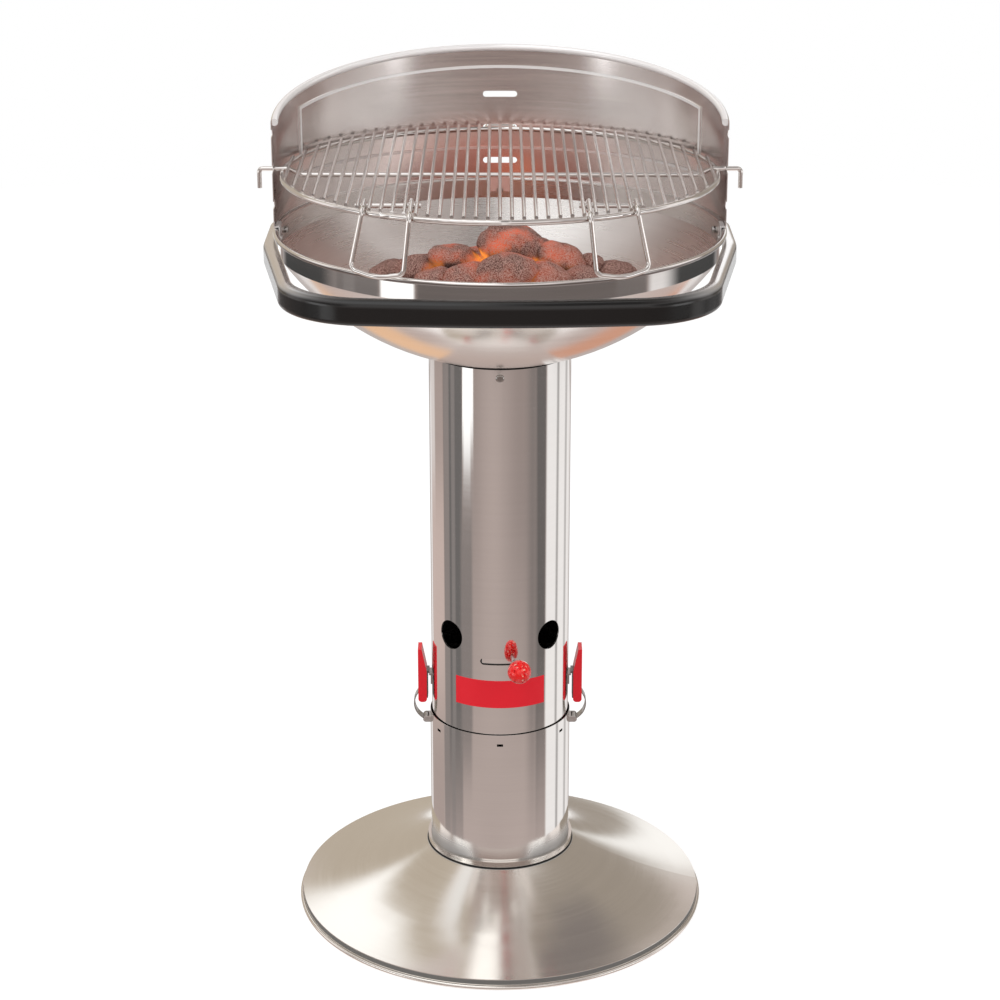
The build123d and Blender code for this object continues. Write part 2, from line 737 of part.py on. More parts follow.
# Charcoal grate: welded wires that rest in the bowl over its mouth
charcoal_reach = bowl_inner_radius - charcoal_ring_wire / 2 - loose_seat
charcoal_level = sphere_level(charcoal_reach, charcoal_ring_radius)
charcoal_bar_level = charcoal_level + (charcoal_ring_wire + charcoal_bar_wire) / 2 - weld_bite
charcoal_bar_count = 2 * int((charcoal_ring_radius - charcoal_bar_wire) / charcoal_bar_pitch) + 1
with BuildPart() as charcoal_grate:
    with BuildSketch(Plane.XZ):
        with Locations((0, charcoal_bar_level)):
            with GridLocations(charcoal_bar_pitch, charcoal_bar_pitch, charcoal_bar_count, 1):
                Circle(charcoal_bar_wire / 2)
    extrude(amount=charcoal_ring_radius, both=True)
    with BuildSketch(Plane.XY.offset(charcoal_bar_level - charcoal_bar_wire)):
        Circle(charcoal_ring_radius)
    extrude(amount=2 * charcoal_bar_wire, mode=Mode.INTERSECT)
    with BuildSketch(Plane.XZ):
        with Locations((charcoal_ring_radius, charcoal_level)):
            Circle(charcoal_ring_wire / 2)
    revolve(axis=Axis.Z)
charcoal_grate.part.label = "charcoal_grate"
export_step(charcoal_grate.part, "parts/charcoal_grate.step")

# Cooking grate: bars trimmed to a ring, a cranked cross wire with hooked ends, a tongue and pivot rods
bar_count = 2 * int((ring_radius - bar_wire) / bar_pitch) + 1
hook_x = guard_radius + hook_stand
crank_x = ring_radius - ring_wire
cross_points = [
    (hook_x, 0, arm_level - hook_drop),
    (hook_x, 0, arm_level),
    (crank_x, 0, arm_level),
    (crank_x - crank_run, -cross_setback, under_bar_level),
    (crank_run - crank_x, -cross_setback, under_bar_level),
    (-crank_x, 0, arm_level),
    (-hook_x, 0, arm_level),
    (-hook_x, 0, arm_level - hook_drop),
]
tongue_root = math.sqrt(ring_radius**2 - (tongue_width / 2) ** 2)
tongue_end = guard_radius + tongue_stand
tongue_points = [
    (tongue_width / 2, tongue_root, under_bar_level),
    (tongue_width / 2, tongue_end, under_bar_level),
    (-tongue_width / 2, tongue_end, under_bar_level),
    (-tongue_width / 2, tongue_root, under_bar_level),
]
rod_low_x = handle_inner_x - handle_wire / 2 - handle_pivot_overhang
rod_high_x = handle_outer_x + handle_wire / 2 + handle_pivot_overhang
with BuildPart() as cooking_grate:
    with BuildSketch(Plane.XZ):
        with Locations((0, bar_level)):
            with GridLocations(bar_pitch, bar_pitch, bar_count, 1):
                Circle(bar_wire / 2)
    extrude(amount=ring_radius, both=True)
    with BuildSketch(Plane.XY.offset(bar_level - bar_wire)):
        Circle(ring_radius)
    extrude(amount=2 * bar_wire, mode=Mode.INTERSECT)
    with BuildSketch(Plane.XZ):
        with Locations((ring_radius, grate_level)):
            Circle(ring_wire / 2)
    revolve(axis=Axis.Z)
    with BuildLine() as cross_path:
        FilletPolyline(*cross_points, radius=wire_bend)
    with BuildSketch(Plane(origin=cross_path.line @ 0, z_dir=cross_path.line % 0)):
        Circle(cross_wire / 2)
    sweep(path=cross_path.line)
    with BuildLine() as tongue_path:
        FilletPolyline(*tongue_points, radius=wire_bend)
    with BuildSketch(Plane(origin=tongue_path.line @ 0, z_dir=tongue_path.line % 0)):
        Circle(cross_wire / 2)
    sweep(path=tongue_path.line)
    for side in (-1, 1):
        with BuildSketch(Plane(origin=(side * rod_low_x, -pivot_back, pivot_level), z_dir=(side, 0, 0))):
            Circle(handle_wire / 2)
        extrude(amount=rod_high_x - rod_low_x)
cooking_grate.part.label = "cooking_grate"
export_step(cooking_grate.part, "parts/cooking_grate.step")

# Handles of the cooking grate: bent wire loops with eyes on the pivot rods
eye_bend = handle_wire + pivot_fit
leg_level = pivot_level + eye_bend
loop_level = rim_top + handle_rim_gap + handle_wire / 2
outer_leg_y = -math.sqrt(ring_radius**2 - handle_outer_x**2) - ring_wire / 2 - handle_ring_gap
inner_leg_y = -math.sqrt(ring_radius**2 - handle_inner_x**2) - ring_wire / 2 - handle_ring_gap
loop_outer_x = handle_outer_x + handle_splay
loop_outer_y = outer_leg_y - handle_lean
loop_inner_x = handle_inner_x + handle_splay / 2
loop_inner_y = inner_leg_y - handle_lean / 2
loop_middle_x = (loop_outer_x + loop_inner_x) / 2
loop_middle_y = (loop_outer_y + loop_inner_y) / 2 - handle_bulge
handle_radii = [handle_bend, handle_bend, handle_loop_round, handle_bend, handle_bend]


def eye_point(across, turn):
    """Point of an eye's wire, turned backwards from the top of the pivot rod."""
    angle = math.radians(90 - turn)
    return (across, -pivot_back + eye_bend * math.cos(angle), pivot_level + eye_bend * math.sin(angle))


for name, side in LEFT_AND_RIGHT:
    handle_points = [
        (side * handle_outer_x, -pivot_back, leg_level),
        (side * handle_outer_x, outer_leg_y, leg_level),
        (side * loop_outer_x, loop_outer_y, loop_level),
        (side * loop_middle_x, loop_middle_y, loop_level - handle_sag),
        (side * loop_inner_x, loop_inner_y, loop_level),
        (side * handle_inner_x, inner_leg_y, leg_level),
        (side * handle_inner_x, -pivot_back, leg_level),
    ]
    outer_eye = [eye_point(side * handle_outer_x, turn) for turn in (eye_turn, eye_turn / 2, 0)]
    inner_eye = [eye_point(side * handle_inner_x, turn) for turn in (0, eye_turn / 2, eye_turn)]
    with BuildPart() as grate_handle:
        with BuildLine() as handle_path:
            ThreePointArc(*outer_eye)
            FilletPolyline(*handle_points, radius=handle_radii)
            ThreePointArc(*inner_eye)
        handle_line = handle_path.wire()
        with BuildSketch(Plane(origin=handle_line @ 0, z_dir=handle_line % 0)):
            Circle(handle_wire / 2)
        sweep(path=handle_line)
    grate_handle.part.label = f"grate_handle_{name}"
    export_step(grate_handle.part, f"parts/grate_handle_{name}.step")

# Clips: each has a bracket and pin, a strap, a lever with a red grip, its pin, and a catch
low_pin_x = lower_tube_radius + clip_low_pin_stand
low_pin_z = seam_level - clip_low_pin_drop
top_pin_x = upper_tube_radius + clip_top_pin_stand
top_pin_z = seam_level + clip_top_pin_rise
eye_radius = clip_pin_diameter / 2 + strap_eye_wall
ear_inner = strap_width / 2 + ear_gap
pin_half = ear_inner + ear_thickness
lever_inner = upper_tube_radius + lever_stand
lever_outer = top_pin_x + lever_cover
lever_top = seam_level + lever_top_rise
lever_knee = seam_level + lever_knee_rise
lever_foot = seam_level + lever_foot_rise
lever_pin_half = lever_width / 2 - lever_pin_inset
grip_inner = lever_inner + spine_thickness
pocket_half = strap_width / 2 + pocket_side_gap
pocket_back = top_pin_x - eye_radius - pocket_back_gap
pocket_low = lever_foot - lever_corner
pocket_high = top_pin_z + pocket_top_rise
pocket_out = lever_outer + lever_corner
ledge_top = lever_knee - nose_height
nose_low = ledge_top + catch_gap
nose_end = upper_tube_radius + catch_reach - nose_overlap
catch_inner = upper_tube_radius - catch_base
catch_outer = upper_tube_radius + catch_base
for name, side in LEFT_AND_RIGHT:
    low_pin_plane = Plane(origin=(side * low_pin_x, 0, low_pin_z), x_dir=(1, 0, 0), z_dir=(0, -1, 0))
    top_pin_plane = Plane(origin=(side * top_pin_x, 0, top_pin_z), x_dir=(1, 0, 0), z_dir=(0, -1, 0))
    pin_places = ((side * low_pin_x, low_pin_z), (side * top_pin_x, top_pin_z))

    # Bracket on the lower tube: two ears on a plate shaped to the tube
    with BuildPart() as clip_bracket:
        with BuildSketch(Plane.XZ):
            with Locations((side * low_pin_x, low_pin_z)):
                Circle(ear_margin)
            with Locations((side * (lower_tube_radius + low_pin_x) / 2, low_pin_z)):
                Rectangle(low_pin_x - lower_tube_radius + 2 * lower_tube_wall, 2 * ear_margin)
        extrude(amount=pin_half, both=True)
        with BuildSketch(Plane.XZ):
            with Locations((side * low_pin_x, low_pin_z)):
                Rectangle(2 * (eye_radius + ear_gap), 4 * ear_margin)
        extrude(amount=ear_inner, both=True, mode=Mode.SUBTRACT)
        with BuildSketch(low_pin_plane):
            Circle(clip_pin_diameter / 2)
        extrude(amount=2 * pin_half, both=True, mode=Mode.SUBTRACT)
        with BuildSketch():
            Circle(lower_tube_radius)
        extrude(amount=seam_level, mode=Mode.SUBTRACT)
    clip_bracket.part.label = f"clip_bracket_{name}"
    export_step(clip_bracket.part, f"parts/clip_bracket_{name}.step")

    # Pin in the bracket
    with BuildPart() as clip_bracket_pin:
        with BuildSketch(low_pin_plane):
            Circle(clip_pin_diameter / 2)
        extrude(amount=pin_half, both=True)
    clip_bracket_pin.part.label = f"clip_bracket_pin_{name}"
    export_step(clip_bracket_pin.part, f"parts/clip_bracket_pin_{name}.step")

    # Strap: a bowed steel strip with an eye at each end
    with BuildPart() as clip_strap:
        with BuildSketch(Plane.XZ):
            with BuildLine():
                ThreePointArc(
                    (side * (low_pin_x + eye_radius - strap_thickness), low_pin_z),
                    (side * (lower_tube_radius + strap_bow), (low_pin_z + top_pin_z) / 2 + strap_bow_rise),
                    (side * (top_pin_x + eye_radius - strap_thickness), top_pin_z),
                )
            trace(line_width=strap_thickness)
            with Locations(*pin_places):
                Circle(eye_radius)
            with Locations(*pin_places):
                Circle(clip_pin_diameter / 2 + clip_fit, mode=Mode.SUBTRACT)
        extrude(amount=strap_width / 2, both=True)
    clip_strap.part.label = f"clip_strap_{name}"
    export_step(clip_strap.part, f"parts/clip_strap_{name}.step")

    # Grip: the red sleeve of the lever, open at the front for the strap's upper eye
    with BuildPart() as clip_grip:
        with BuildSketch(Plane.XZ):
            with BuildLine():
                Polyline(
                    (side * lever_outer, lever_foot),
                    (side * lever_outer, lever_top),
                    (side * (lever_outer - lever_tip_depth), lever_top),
                    (side * grip_inner, lever_knee),
                    (side * grip_inner, lever_foot),
                    close=True,
                )
            face = make_face()
            fillet(face.vertices().group_by(Axis.Y)[0], lever_corner)
        extrude(amount=lever_width / 2, both=True)
        with BuildSketch(Plane.XZ):
            with BuildLine():
                Polyline(
                    (side * pocket_back, pocket_low),
                    (side * pocket_back, pocket_high),
                    (side * pocket_out, pocket_high),
                    (side * pocket_out, pocket_low),
                    close=True,
                )
            make_face()
        extrude(amount=pocket_half, both=True, mode=Mode.SUBTRACT)
        with BuildSketch(top_pin_plane):
            Circle(clip_pin_diameter / 2)
        extrude(amount=lever_pin_half, both=True, mode=Mode.SUBTRACT)
    clip_grip.part.label = f"clip_grip_{name}"
    export_step(clip_grip.part, f"parts/clip_grip_{name}.step")

    # Lever: the steel spine of the grip, with a nose that rests on the catch
    with BuildPart() as clip_lever:
        with BuildSketch(Plane.XZ):
            with BuildLine():
                Polyline(
                    (side * grip_inner, lever_foot + lever_corner),
                    (side * grip_inner, lever_knee),
                    (side * nose_end, lever_knee),
                    (side * nose_end, nose_low),
                    (side * lever_inner, nose_low),
                    (side * lever_inner, lever_foot + lever_corner),
                    close=True,
                )
            make_face()
        extrude(amount=spine_width / 2, both=True)
    clip_lever.part.label = f"clip_lever_{name}"
    export_step(clip_lever.part, f"parts/clip_lever_{name}.step")

    # Pin that joins the lever to the strap, moulded into the grip
    with BuildPart() as clip_lever_pin:
        with BuildSketch(top_pin_plane):
            Circle(clip_pin_diameter / 2)
        extrude(amount=lever_pin_half, both=True)
    clip_lever_pin.part.label = f"clip_lever_pin_{name}"
    export_step(clip_lever_pin.part, f"parts/clip_lever_pin_{name}.step")

    # Catch on the upper tube: a plate shaped to the tube, with a ledge under the lever's nose
    with BuildPart() as clip_catch:
        with BuildSketch(Plane.XZ):
            with BuildLine():
                Polyline(
                    (side * catch_inner, ledge_top - catch_height),
                    (side * catch_outer, ledge_top - catch_height),
                    (side * catch_outer, ledge_top - catch_ledge),
                    (side * (upper_tube_radius + catch_reach), ledge_top - catch_ledge),
                    (side * (upper_tube_radius + catch_reach), ledge_top),
                    (side * catch_inner, ledge_top),
                    close=True,
                )
            make_face()
        extrude(amount=catch_width / 2, both=True)
        with BuildSketch():
            Circle(upper_tube_radius)
        extrude(amount=upper_tube_top, mode=Mode.SUBTRACT)
    clip_catch.part.label = f"clip_catch_{name}"
    export_step(clip_catch.part, f"parts/clip_catch_{name}.step")
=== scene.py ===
# %% [markdown]
# # A charcoal grill on a column
#
# The grill is a spun steel bowl on a two-part chimney tube, with a curved wind guard, a wire grate,
# a black hand rail and a round hollow foot. Its solids come ready made and at their real size from
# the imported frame. This lesson gives every surface its finish and adds the few things that have no
# solid: the burning charcoal, a bare red plate on the tube and the cut facets of the damper's knob.
# Everything is in metres, with +Z up, the cook at -Y and the floor at zero.

# %% Load the frame
import json
import math
import random

import bmesh
import bpy
from mathutils import Matrix, Vector, noise


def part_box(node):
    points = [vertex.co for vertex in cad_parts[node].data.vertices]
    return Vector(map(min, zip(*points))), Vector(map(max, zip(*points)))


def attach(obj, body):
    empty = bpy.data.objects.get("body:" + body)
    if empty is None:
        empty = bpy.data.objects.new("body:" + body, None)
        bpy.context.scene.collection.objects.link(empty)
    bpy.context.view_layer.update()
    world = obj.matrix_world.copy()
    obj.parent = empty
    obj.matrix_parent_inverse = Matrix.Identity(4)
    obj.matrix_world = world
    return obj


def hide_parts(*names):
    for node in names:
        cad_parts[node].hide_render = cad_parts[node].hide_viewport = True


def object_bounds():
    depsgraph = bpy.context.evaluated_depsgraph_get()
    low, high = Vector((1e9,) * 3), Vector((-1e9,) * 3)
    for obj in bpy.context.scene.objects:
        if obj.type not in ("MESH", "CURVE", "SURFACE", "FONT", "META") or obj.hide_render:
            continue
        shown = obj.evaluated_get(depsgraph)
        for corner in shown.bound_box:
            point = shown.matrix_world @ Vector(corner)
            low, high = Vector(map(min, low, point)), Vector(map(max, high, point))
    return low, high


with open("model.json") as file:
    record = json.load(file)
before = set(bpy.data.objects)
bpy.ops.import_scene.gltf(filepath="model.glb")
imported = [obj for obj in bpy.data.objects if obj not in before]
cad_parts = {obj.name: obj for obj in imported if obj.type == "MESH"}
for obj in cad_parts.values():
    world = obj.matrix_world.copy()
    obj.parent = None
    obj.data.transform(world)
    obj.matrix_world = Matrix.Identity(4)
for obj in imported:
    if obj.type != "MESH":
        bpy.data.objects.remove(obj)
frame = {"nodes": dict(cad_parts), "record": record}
cad_low, cad_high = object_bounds()
scene = bpy.context.scene
scene.view_settings.view_transform = "Standard"
print("The grill stands", round(cad_high[2] - cad_low[2], 3), "m high on", len(frame["nodes"]), "nodes")

# %% [markdown]
# ## The camera
#
# The photograph looks at the grill from straight ahead and a little above, through a longish lens.
# A camera can be fitted by eye, but the grill has many level circles of known width, and the way they
# flatten fixes the height, the pitch and the distance. The values below are that fit, and the grill's
# axis falls on the middle of the picture, so the lens needs no shift.

# %% Camera
CAMERA_PLACE = (0.0, -2.6248, 1.4397)
CAMERA_PITCH_DOWN = 19.85
CAMERA_LENS = 88.91
CAMERA_SENSOR = 36.0
CAMERA_REACH = 60.0

camera_data = bpy.data.cameras.new("camera")
camera_data.lens = CAMERA_LENS
camera_data.sensor_width = CAMERA_SENSOR
camera_data.clip_end = CAMERA_REACH
camera = bpy.data.objects.new("camera", camera_data)
camera.location = CAMERA_PLACE
camera.rotation_euler = (math.radians(90 - CAMERA_PITCH_DOWN), 0.0, 0.0)
scene.collection.objects.link(camera)
scene.camera = camera
print("Camera", CAMERA_PLACE, "pitched down", CAMERA_PITCH_DOWN, "degrees")

# %% [markdown]
# ## Small helpers for node trees
#
# Every finish below is a node tree. Nodes could be placed and wired by hand in the editor, but in a
# script a few helpers keep the wiring readable: one adds a node and fills or links its sockets, others
# write a sum, a product, a soft step, a soft band, a mix of colours and a colour ramp.

# %% Node helpers
def add(tree, kind, inputs=(), **settings):
    """One shader node, its settings, and its sockets set to a value or linked to another socket."""
    made = tree.nodes.new("ShaderNode" + kind)
    for name, value in settings.items():
        setattr(made, name, value)
    for socket, value in dict(inputs).items():
        if isinstance(value, bpy.types.NodeSocket):
            tree.links.new(value, made.inputs[socket])
        else:
            made.inputs[socket].default_value = value
    return made


def calc(tree, operation, *values):
    """One sum of up to three values or sockets."""
    return add(tree, "Math", enumerate(values), operation=operation).outputs[0]


def times(tree, first, *others):
    """The product of values or sockets."""
    for other in others:
        first = calc(tree, "MULTIPLY", first, other)
    return first


def fade(tree, value, low, high, low_value=0.0, high_value=1.0):
    """A smooth step from low_value to high_value as the socket goes from low to high."""
    steps = {"Value": value, "From Min": low, "From Max": high, "To Min": low_value, "To Max": high_value}
    return add(tree, "MapRange", steps, interpolation_type="SMOOTHSTEP").outputs["Result"]


def band(tree, value, low, high, soft):
    """One between low and high, nought outside, with soft ends."""
    rise = fade(tree, value, low - soft, low + soft)
    return times(tree, rise, fade(tree, value, high + soft, high - soft))


def blend_colours(tree, share, first, second):
    """The first colour where share is 0, the second where it is 1."""
    mix = add(tree, "Mix", data_type="RGBA")
    for socket, value in ((mix.inputs[0], share), (mix.inputs[6], first), (mix.inputs[7], second)):
        if isinstance(value, bpy.types.NodeSocket):
            tree.links.new(value, socket)
        else:
            socket.default_value = value
    return mix.outputs[2]


def ramp(tree, value, stops):
    """A colour ramp from a list of (position, colour)."""
    made = add(tree, "ValToRGB", {"Fac": value})
    elements = made.color_ramp.elements
    while len(elements) < len(stops):
        elements.new(1.0)
    for element, (position, colour) in zip(elements, stops):
        element.position = position
        element.color = colour
    return made.outputs["Color"]


def grey(level, warmth=0.0):
    """A grey of that linear brightness, shifted from neutral towards warm."""
    return (level, level * (1 - 0.75 * warmth), level * (1 - warmth), 1.0)


print("Node helpers ready")

# %% [markdown]
# ## Where a point of the grill lies
#
# Many finishes change from place to place: soot on an inner wall, a shaded rim, a glow at the back. A
# painted mask could say where, but nearly every piece here was turned, rolled or spun round the column's
# axis. So the height, the distance from that axis and the way a surface faces say it with no picture, and
# stay right when a piece moves, because they are taken in the piece's own frame.

# %% Place helpers
def axis_place(tree):
    """x, y, height and distance from the column's axis of a point of the grill, in metres."""
    x, y, z = add(tree, "SeparateXYZ", {"Vector": add(tree, "TexCoord").outputs["Object"]}).outputs
    across = calc(tree, "ADD", times(tree, x, x), times(tree, y, y))
    return x, y, z, calc(tree, "SQRT", across)


def facing_up(tree):
    """How far a surface faces up: 1 on a floor, 0 on a wall, -1 on a ceiling."""
    normal = add(tree, "TexCoord").outputs["Normal"]
    return add(tree, "SeparateXYZ", {"Vector": normal}).outputs[2]


def facing_from(tree, centre):
    """Positive where a surface faces away from a centre, negative where it faces it."""
    place = add(tree, "TexCoord").outputs
    outward = add(tree, "VectorMath", {0: place["Object"], 1: centre}, operation="SUBTRACT").outputs[0]
    facing = add(tree, "VectorMath", {0: place["Normal"], 1: outward}, operation="DOT_PRODUCT")
    return facing.outputs["Value"]


def patches(tree, scale, detail=2.0):
    """Soft cloudy patches, for handling marks and unevenness."""
    place = add(tree, "TexCoord").outputs["Object"]
    return add(tree, "TexNoise", {"Vector": place, "Scale": scale, "Detail": detail}).outputs["Fac"]


print("Place helpers ready")

# %% [markdown]
# ## The studio round the grill
#
# Polished steel has hardly any colour of its own: what it shows is the room. The room here is white
# behind the grill and warm grey on the cook's side, with one tall white panel at the left, dark gaps
# beside the panels and paler walls at the right. It could be built from lit panels, but each would also
# throw light and shadow. So the world gives it by direction, and only to what the metal mirrors: the
# camera sees plain white, and matt surfaces get an even white light. The base goes from floor to ceiling,
# as a list of elevation in degrees and colour.

# %% The room by height
ROOM_BY_HEIGHT = [
    (-90, grey(0.95, 0.05)),
    (-68, grey(1.15, 0.05)),
    (-58, grey(0.62, 0.18)),
    (-44, grey(0.58, 0.25)),
    (-28, grey(0.50, 0.22)),
    (-20, grey(0.33, 0.22)),
    (-8, grey(0.36, 0.28)),
    (16, grey(0.95, 0.07)),
    (50, grey(0.95, 0.07)),
    (72, grey(0.95, 0.05)),
    (90, grey(0.95, 0.03)),
]
print("The room's base has", len(ROOM_BY_HEIGHT), "heights")

# %% [markdown]
# ## What each piece mirrors
#
# An upright mirror, such as a tube or the guard, throws a look back at the slope it came with, so these
# pieces see a narrow belt just under the horizon, and what stands there shows on a tube as upright stripes.
# The foot's cone looks up and to the back, the bowl's inside looks up, and its underside looks down at the
# floor. That lets the room be set out piece by piece. A row is a name, the azimuths and the elevations that
# a patch spans, the softness of its edges in both, and its colour. Azimuth zero is the cook's side and grows
# to the right. A later row covers an earlier one.

# %% Panels and walls for the tubes
TUBE_PANELS = [
    ("front_glow", (-34, 12), (-32, -13.5), (24, 3), grey(0.47, 0.22)),
    ("left_wall", (-152, -107), (-32, -13.5), (1.5, 3), grey(0.43, 0.24)),
    ("left_wall_rim", (-152, -133), (-20, -13.5), (2, 1.5), grey(0.72, 0.10)),
    ("left_wall_lit", (-148, -106), (-24.5, -19.5), (2, 1.5), grey(0.60, 0.26)),
    ("left_gap", (-105, -64), (-27, -13.5), (2, 3), grey(0.16, 0.08)),
    ("left_gap_edge", (-105, -92), (-27, -13.5), (1.5, 3), grey(0.28, 0.16)),
    ("left_gap_line", (-87, -79), (-27, -13.5), (1.5, 3), grey(0.25, 0.12)),
    ("under_panel", (-68, -47), (-26, -20), (3, 1.0), grey(0.25, 0.16)),
    ("panel_foot", (-60, -49), (-19.1, -15), (1.5, 0.6), grey(1.1)),
    ("tall_panel", (-63, -44), (-18.4, -13.5), (1.0, 0.6), grey(1.3)),
    ("right_fade", (47, 64), (-26, -13.5), (9, 3), grey(0.24, 0.18)),
    ("right_gap", (61.5, 80.5), (-26, -13.5), (2.5, 3), grey(0.15, 0.12)),
    ("right_wall", (82, 150), (-36, -13.5), (2.5, 3), grey(0.92, 0.03)),
    ("right_wall_seam", (106, 112), (-36, -13.5), (2, 3), grey(0.44, 0.05)),
    ("right_wall_end", (132, 141), (-36, -13.5), (2, 3), grey(0.55, 0.05)),
]
print(len(TUBE_PANELS), "patches for the tubes")

# %% Lights for the wind guard and shade for the neck
GUARD_PANELS = [
    ("neck_shade_left", (-95, -30), (10, 34), (6, 3), grey(0.30, 0.12)),
    ("neck_shade_right", (30, 95), (10, 34), (6, 3), grey(0.30, 0.12)),
    ("left_lobe", (-80, -50), (-11.8, 7), (8, 0.7), grey(1.9)),
    ("right_lobe", (50, 80), (-11.8, 7), (8, 0.7), grey(1.9)),
    ("left_side", (-145, -90), (-12.2, 10), (5, 0.8), grey(1.05, 0.08)),
    ("right_side", (90, 145), (-12.2, 10), (5, 0.8), grey(1.05, 0.08)),
]
print(len(GUARD_PANELS), "patches for the guard and the neck")

# %% Back walls and ceiling for the foot and the bowl's inside
BEIGE_LEFT = (0.54, 0.47, 0.39, 1.0)
BEIGE_RIGHT = (0.37, 0.325, 0.28, 1.0)
FOOT_PANELS = [
    ("back_left", (-181, -118), (-10, 62), (3, 3), BEIGE_LEFT),
    ("back_left_edge", (-181, -163), (20, 66), (2, 3), grey(0.66, 0.15)),
    ("soft_box", (-164, -147), (28, 53), (3, 4), grey(1.3)),
    ("back_left_top", (-180, -118), (64, 90), (2, 3), grey(0.95)),
    ("back_right", (118, 181), (-10, 72), (3, 3), BEIGE_RIGHT),
    ("back_right_edge", (158, 181), (22, 46), (3, 4), grey(0.70, 0.15)),
    ("back_right_white", (160, 181), (5, 22), (3, 3), grey(1.15)),
    ("dark_screen", (140, 181), (49, 64), (6, 4), grey(0.24, 0.15)),
    ("front_right_high", (30, 100), (45, 74), (8, 6), grey(0.55, 0.15)),
    ("front_right_dark", (4, 32), (50, 74), (4, 6), grey(0.16, 0.15)),
    ("front_left_high", (-86, -5), (52, 73), (4, 4), grey(1.5)),
    ("top_left", (-100, -4), (72, 91), (6, 3), grey(1.5)),
    ("top_right", (4, 100), (72, 91), (6, 3), grey(0.22, 0.15)),
]
print(len(FOOT_PANELS), "patches for the foot and the bowl's inside")

# %% Floor under the bowl, and the belt that its band mirrors
WARM_FLOOR_LEFT = (0.87, 0.55, 0.34, 1.0)
WARM_FLOOR_RIGHT = (0.65, 0.33, 0.22, 1.0)
BOWL_PANELS = [
    ("warm_floor_left", (-174, -148), (-51, -33), (4, 3), WARM_FLOOR_LEFT),
    ("warm_floor_right", (148, 174), (-51, -33), (4, 3), WARM_FLOOR_RIGHT),
    ("floor_dark_left", (-160, -147), (-63, -52), (3, 2), grey(0.50, 0.25)),
    ("floor_dark_right", (147, 160), (-63, -52), (3, 2), grey(0.45, 0.25)),
    ("floor_middle_left", (-181, -174), (-78, -60), (2, 3), grey(0.85, 0.1)),
    ("floor_middle_right", (174, 181), (-78, -60), (2, 3), grey(0.85, 0.1)),
    ("pale_back_left", (-160, -150), (-33, -16.8), (1, 1), grey(0.85, 0.05)),
    ("pale_back_right", (149, 160), (-33, -16.8), (1, 1), grey(0.85, 0.05)),
    ("edge_left", (-181, -161), (-33, -16.8), (1, 1), grey(0.5, 0.12)),
    ("edge_right", (161, 181), (-33, -16.8), (1, 1), grey(0.5, 0.12)),
    ("band_front", (-43, 62), (-16.2, -13.4), (2, 0.3), grey(0.15, 0.18)),
    ("band_shade_left", (-150, -98), (-16.2, -13.5), (8, 0.4), grey(0.06)),
    ("band_shade_right", (98, 150), (-16.2, -13.5), (8, 0.4), grey(0.06)),
    ("white_back_left", (-181, -158), (-16.4, -11), (3, 0.5), grey(1.3)),
    ("white_back_right", (158, 181), (-16.4, -11), (3, 0.5), grey(1.3)),
]
print(len(BOWL_PANELS), "patches for the bowl")

# %% [markdown]
# ## The world
#
# The world turns the direction of a ray into azimuth and elevation, starts from the base by height and
# lays every patch over it. Which rays see it comes from the light path. A world with many small patches
# would also be sampled as a lamp, but it is soft and even for matt surfaces, so that is switched off.

# %% Studio world
EVEN_LIGHT = 0.62
ROOM_PANELS = [*TUBE_PANELS, *GUARD_PANELS, *FOOT_PANELS, *BOWL_PANELS]

world = bpy.data.worlds.new("studio")
world.use_nodes = True
world.cycles.sampling_method = "NONE"
scene.world = world
room = world.node_tree
room.nodes.clear()
aim = add(room, "SeparateXYZ", {"Vector": add(room, "TexCoord").outputs["Generated"]}).outputs
azimuth = calc(room, "ARCTAN2", aim[0], times(room, aim[1], -1.0))
azimuth = times(room, azimuth, math.degrees(1))
elevation = times(room, calc(room, "ARCSINE", aim[2]), math.degrees(1))
climb = calc(room, "MULTIPLY_ADD", elevation, 1 / 180, 0.5)
mirrored = ramp(room, climb, [(turn / 180 + 0.5, colour) for turn, colour in ROOM_BY_HEIGHT])
for name, turns, heights, soft, colour in ROOM_PANELS:
    across = band(room, azimuth, *turns, soft[0])
    upright = band(room, elevation, *heights, soft[1])
    mirrored = blend_colours(room, times(room, across, upright), mirrored, colour)
    mirrored.node.name = name
light_path = add(room, "LightPath").outputs
seen = calc(room, "MAXIMUM", light_path["Is Camera Ray"], light_path["Is Transmission Ray"])
colour = blend_colours(room, light_path["Is Glossy Ray"], grey(EVEN_LIGHT), mirrored)
colour = blend_colours(room, seen, colour, grey(1.0))
surface = add(room, "Background", {"Color": colour, "Strength": 1.0})
room.links.new(surface.outputs[0], add(room, "OutputWorld").inputs["Surface"])
print("The studio has", len(ROOM_PANELS), "panels, walls and gaps")

# %% [markdown]
# ## Floor and lamps
#
# The floor is a plain pale disc that takes a soft shadow. A backdrop could hide where it ends, but here
# it also glows a little to the camera, so that it meets the white behind it with no line. Two large soft
# lamps give the shadow a direction: one high at the left front, one weaker at the right. They are left
# out of the mirror images, where the studio stands for them.

# %% Floor
FLOOR_RADIUS = 4.0
FLOOR_DROP = 0.0004
FLOOR_GLOW = 0.72
FLOOR_GREYS = (0.42, 0.46)

floor_mesh = bpy.data.meshes.new("floor")
shape = bmesh.new()
bmesh.ops.create_circle(shape, cap_ends=True, segments=96, radius=FLOOR_RADIUS)
shape.to_mesh(floor_mesh)
shape.free()
floor = bpy.data.objects.new("floor", floor_mesh)
floor.location.z = cad_low[2] - FLOOR_DROP
floor.visible_glossy = False
scene.collection.objects.link(floor)

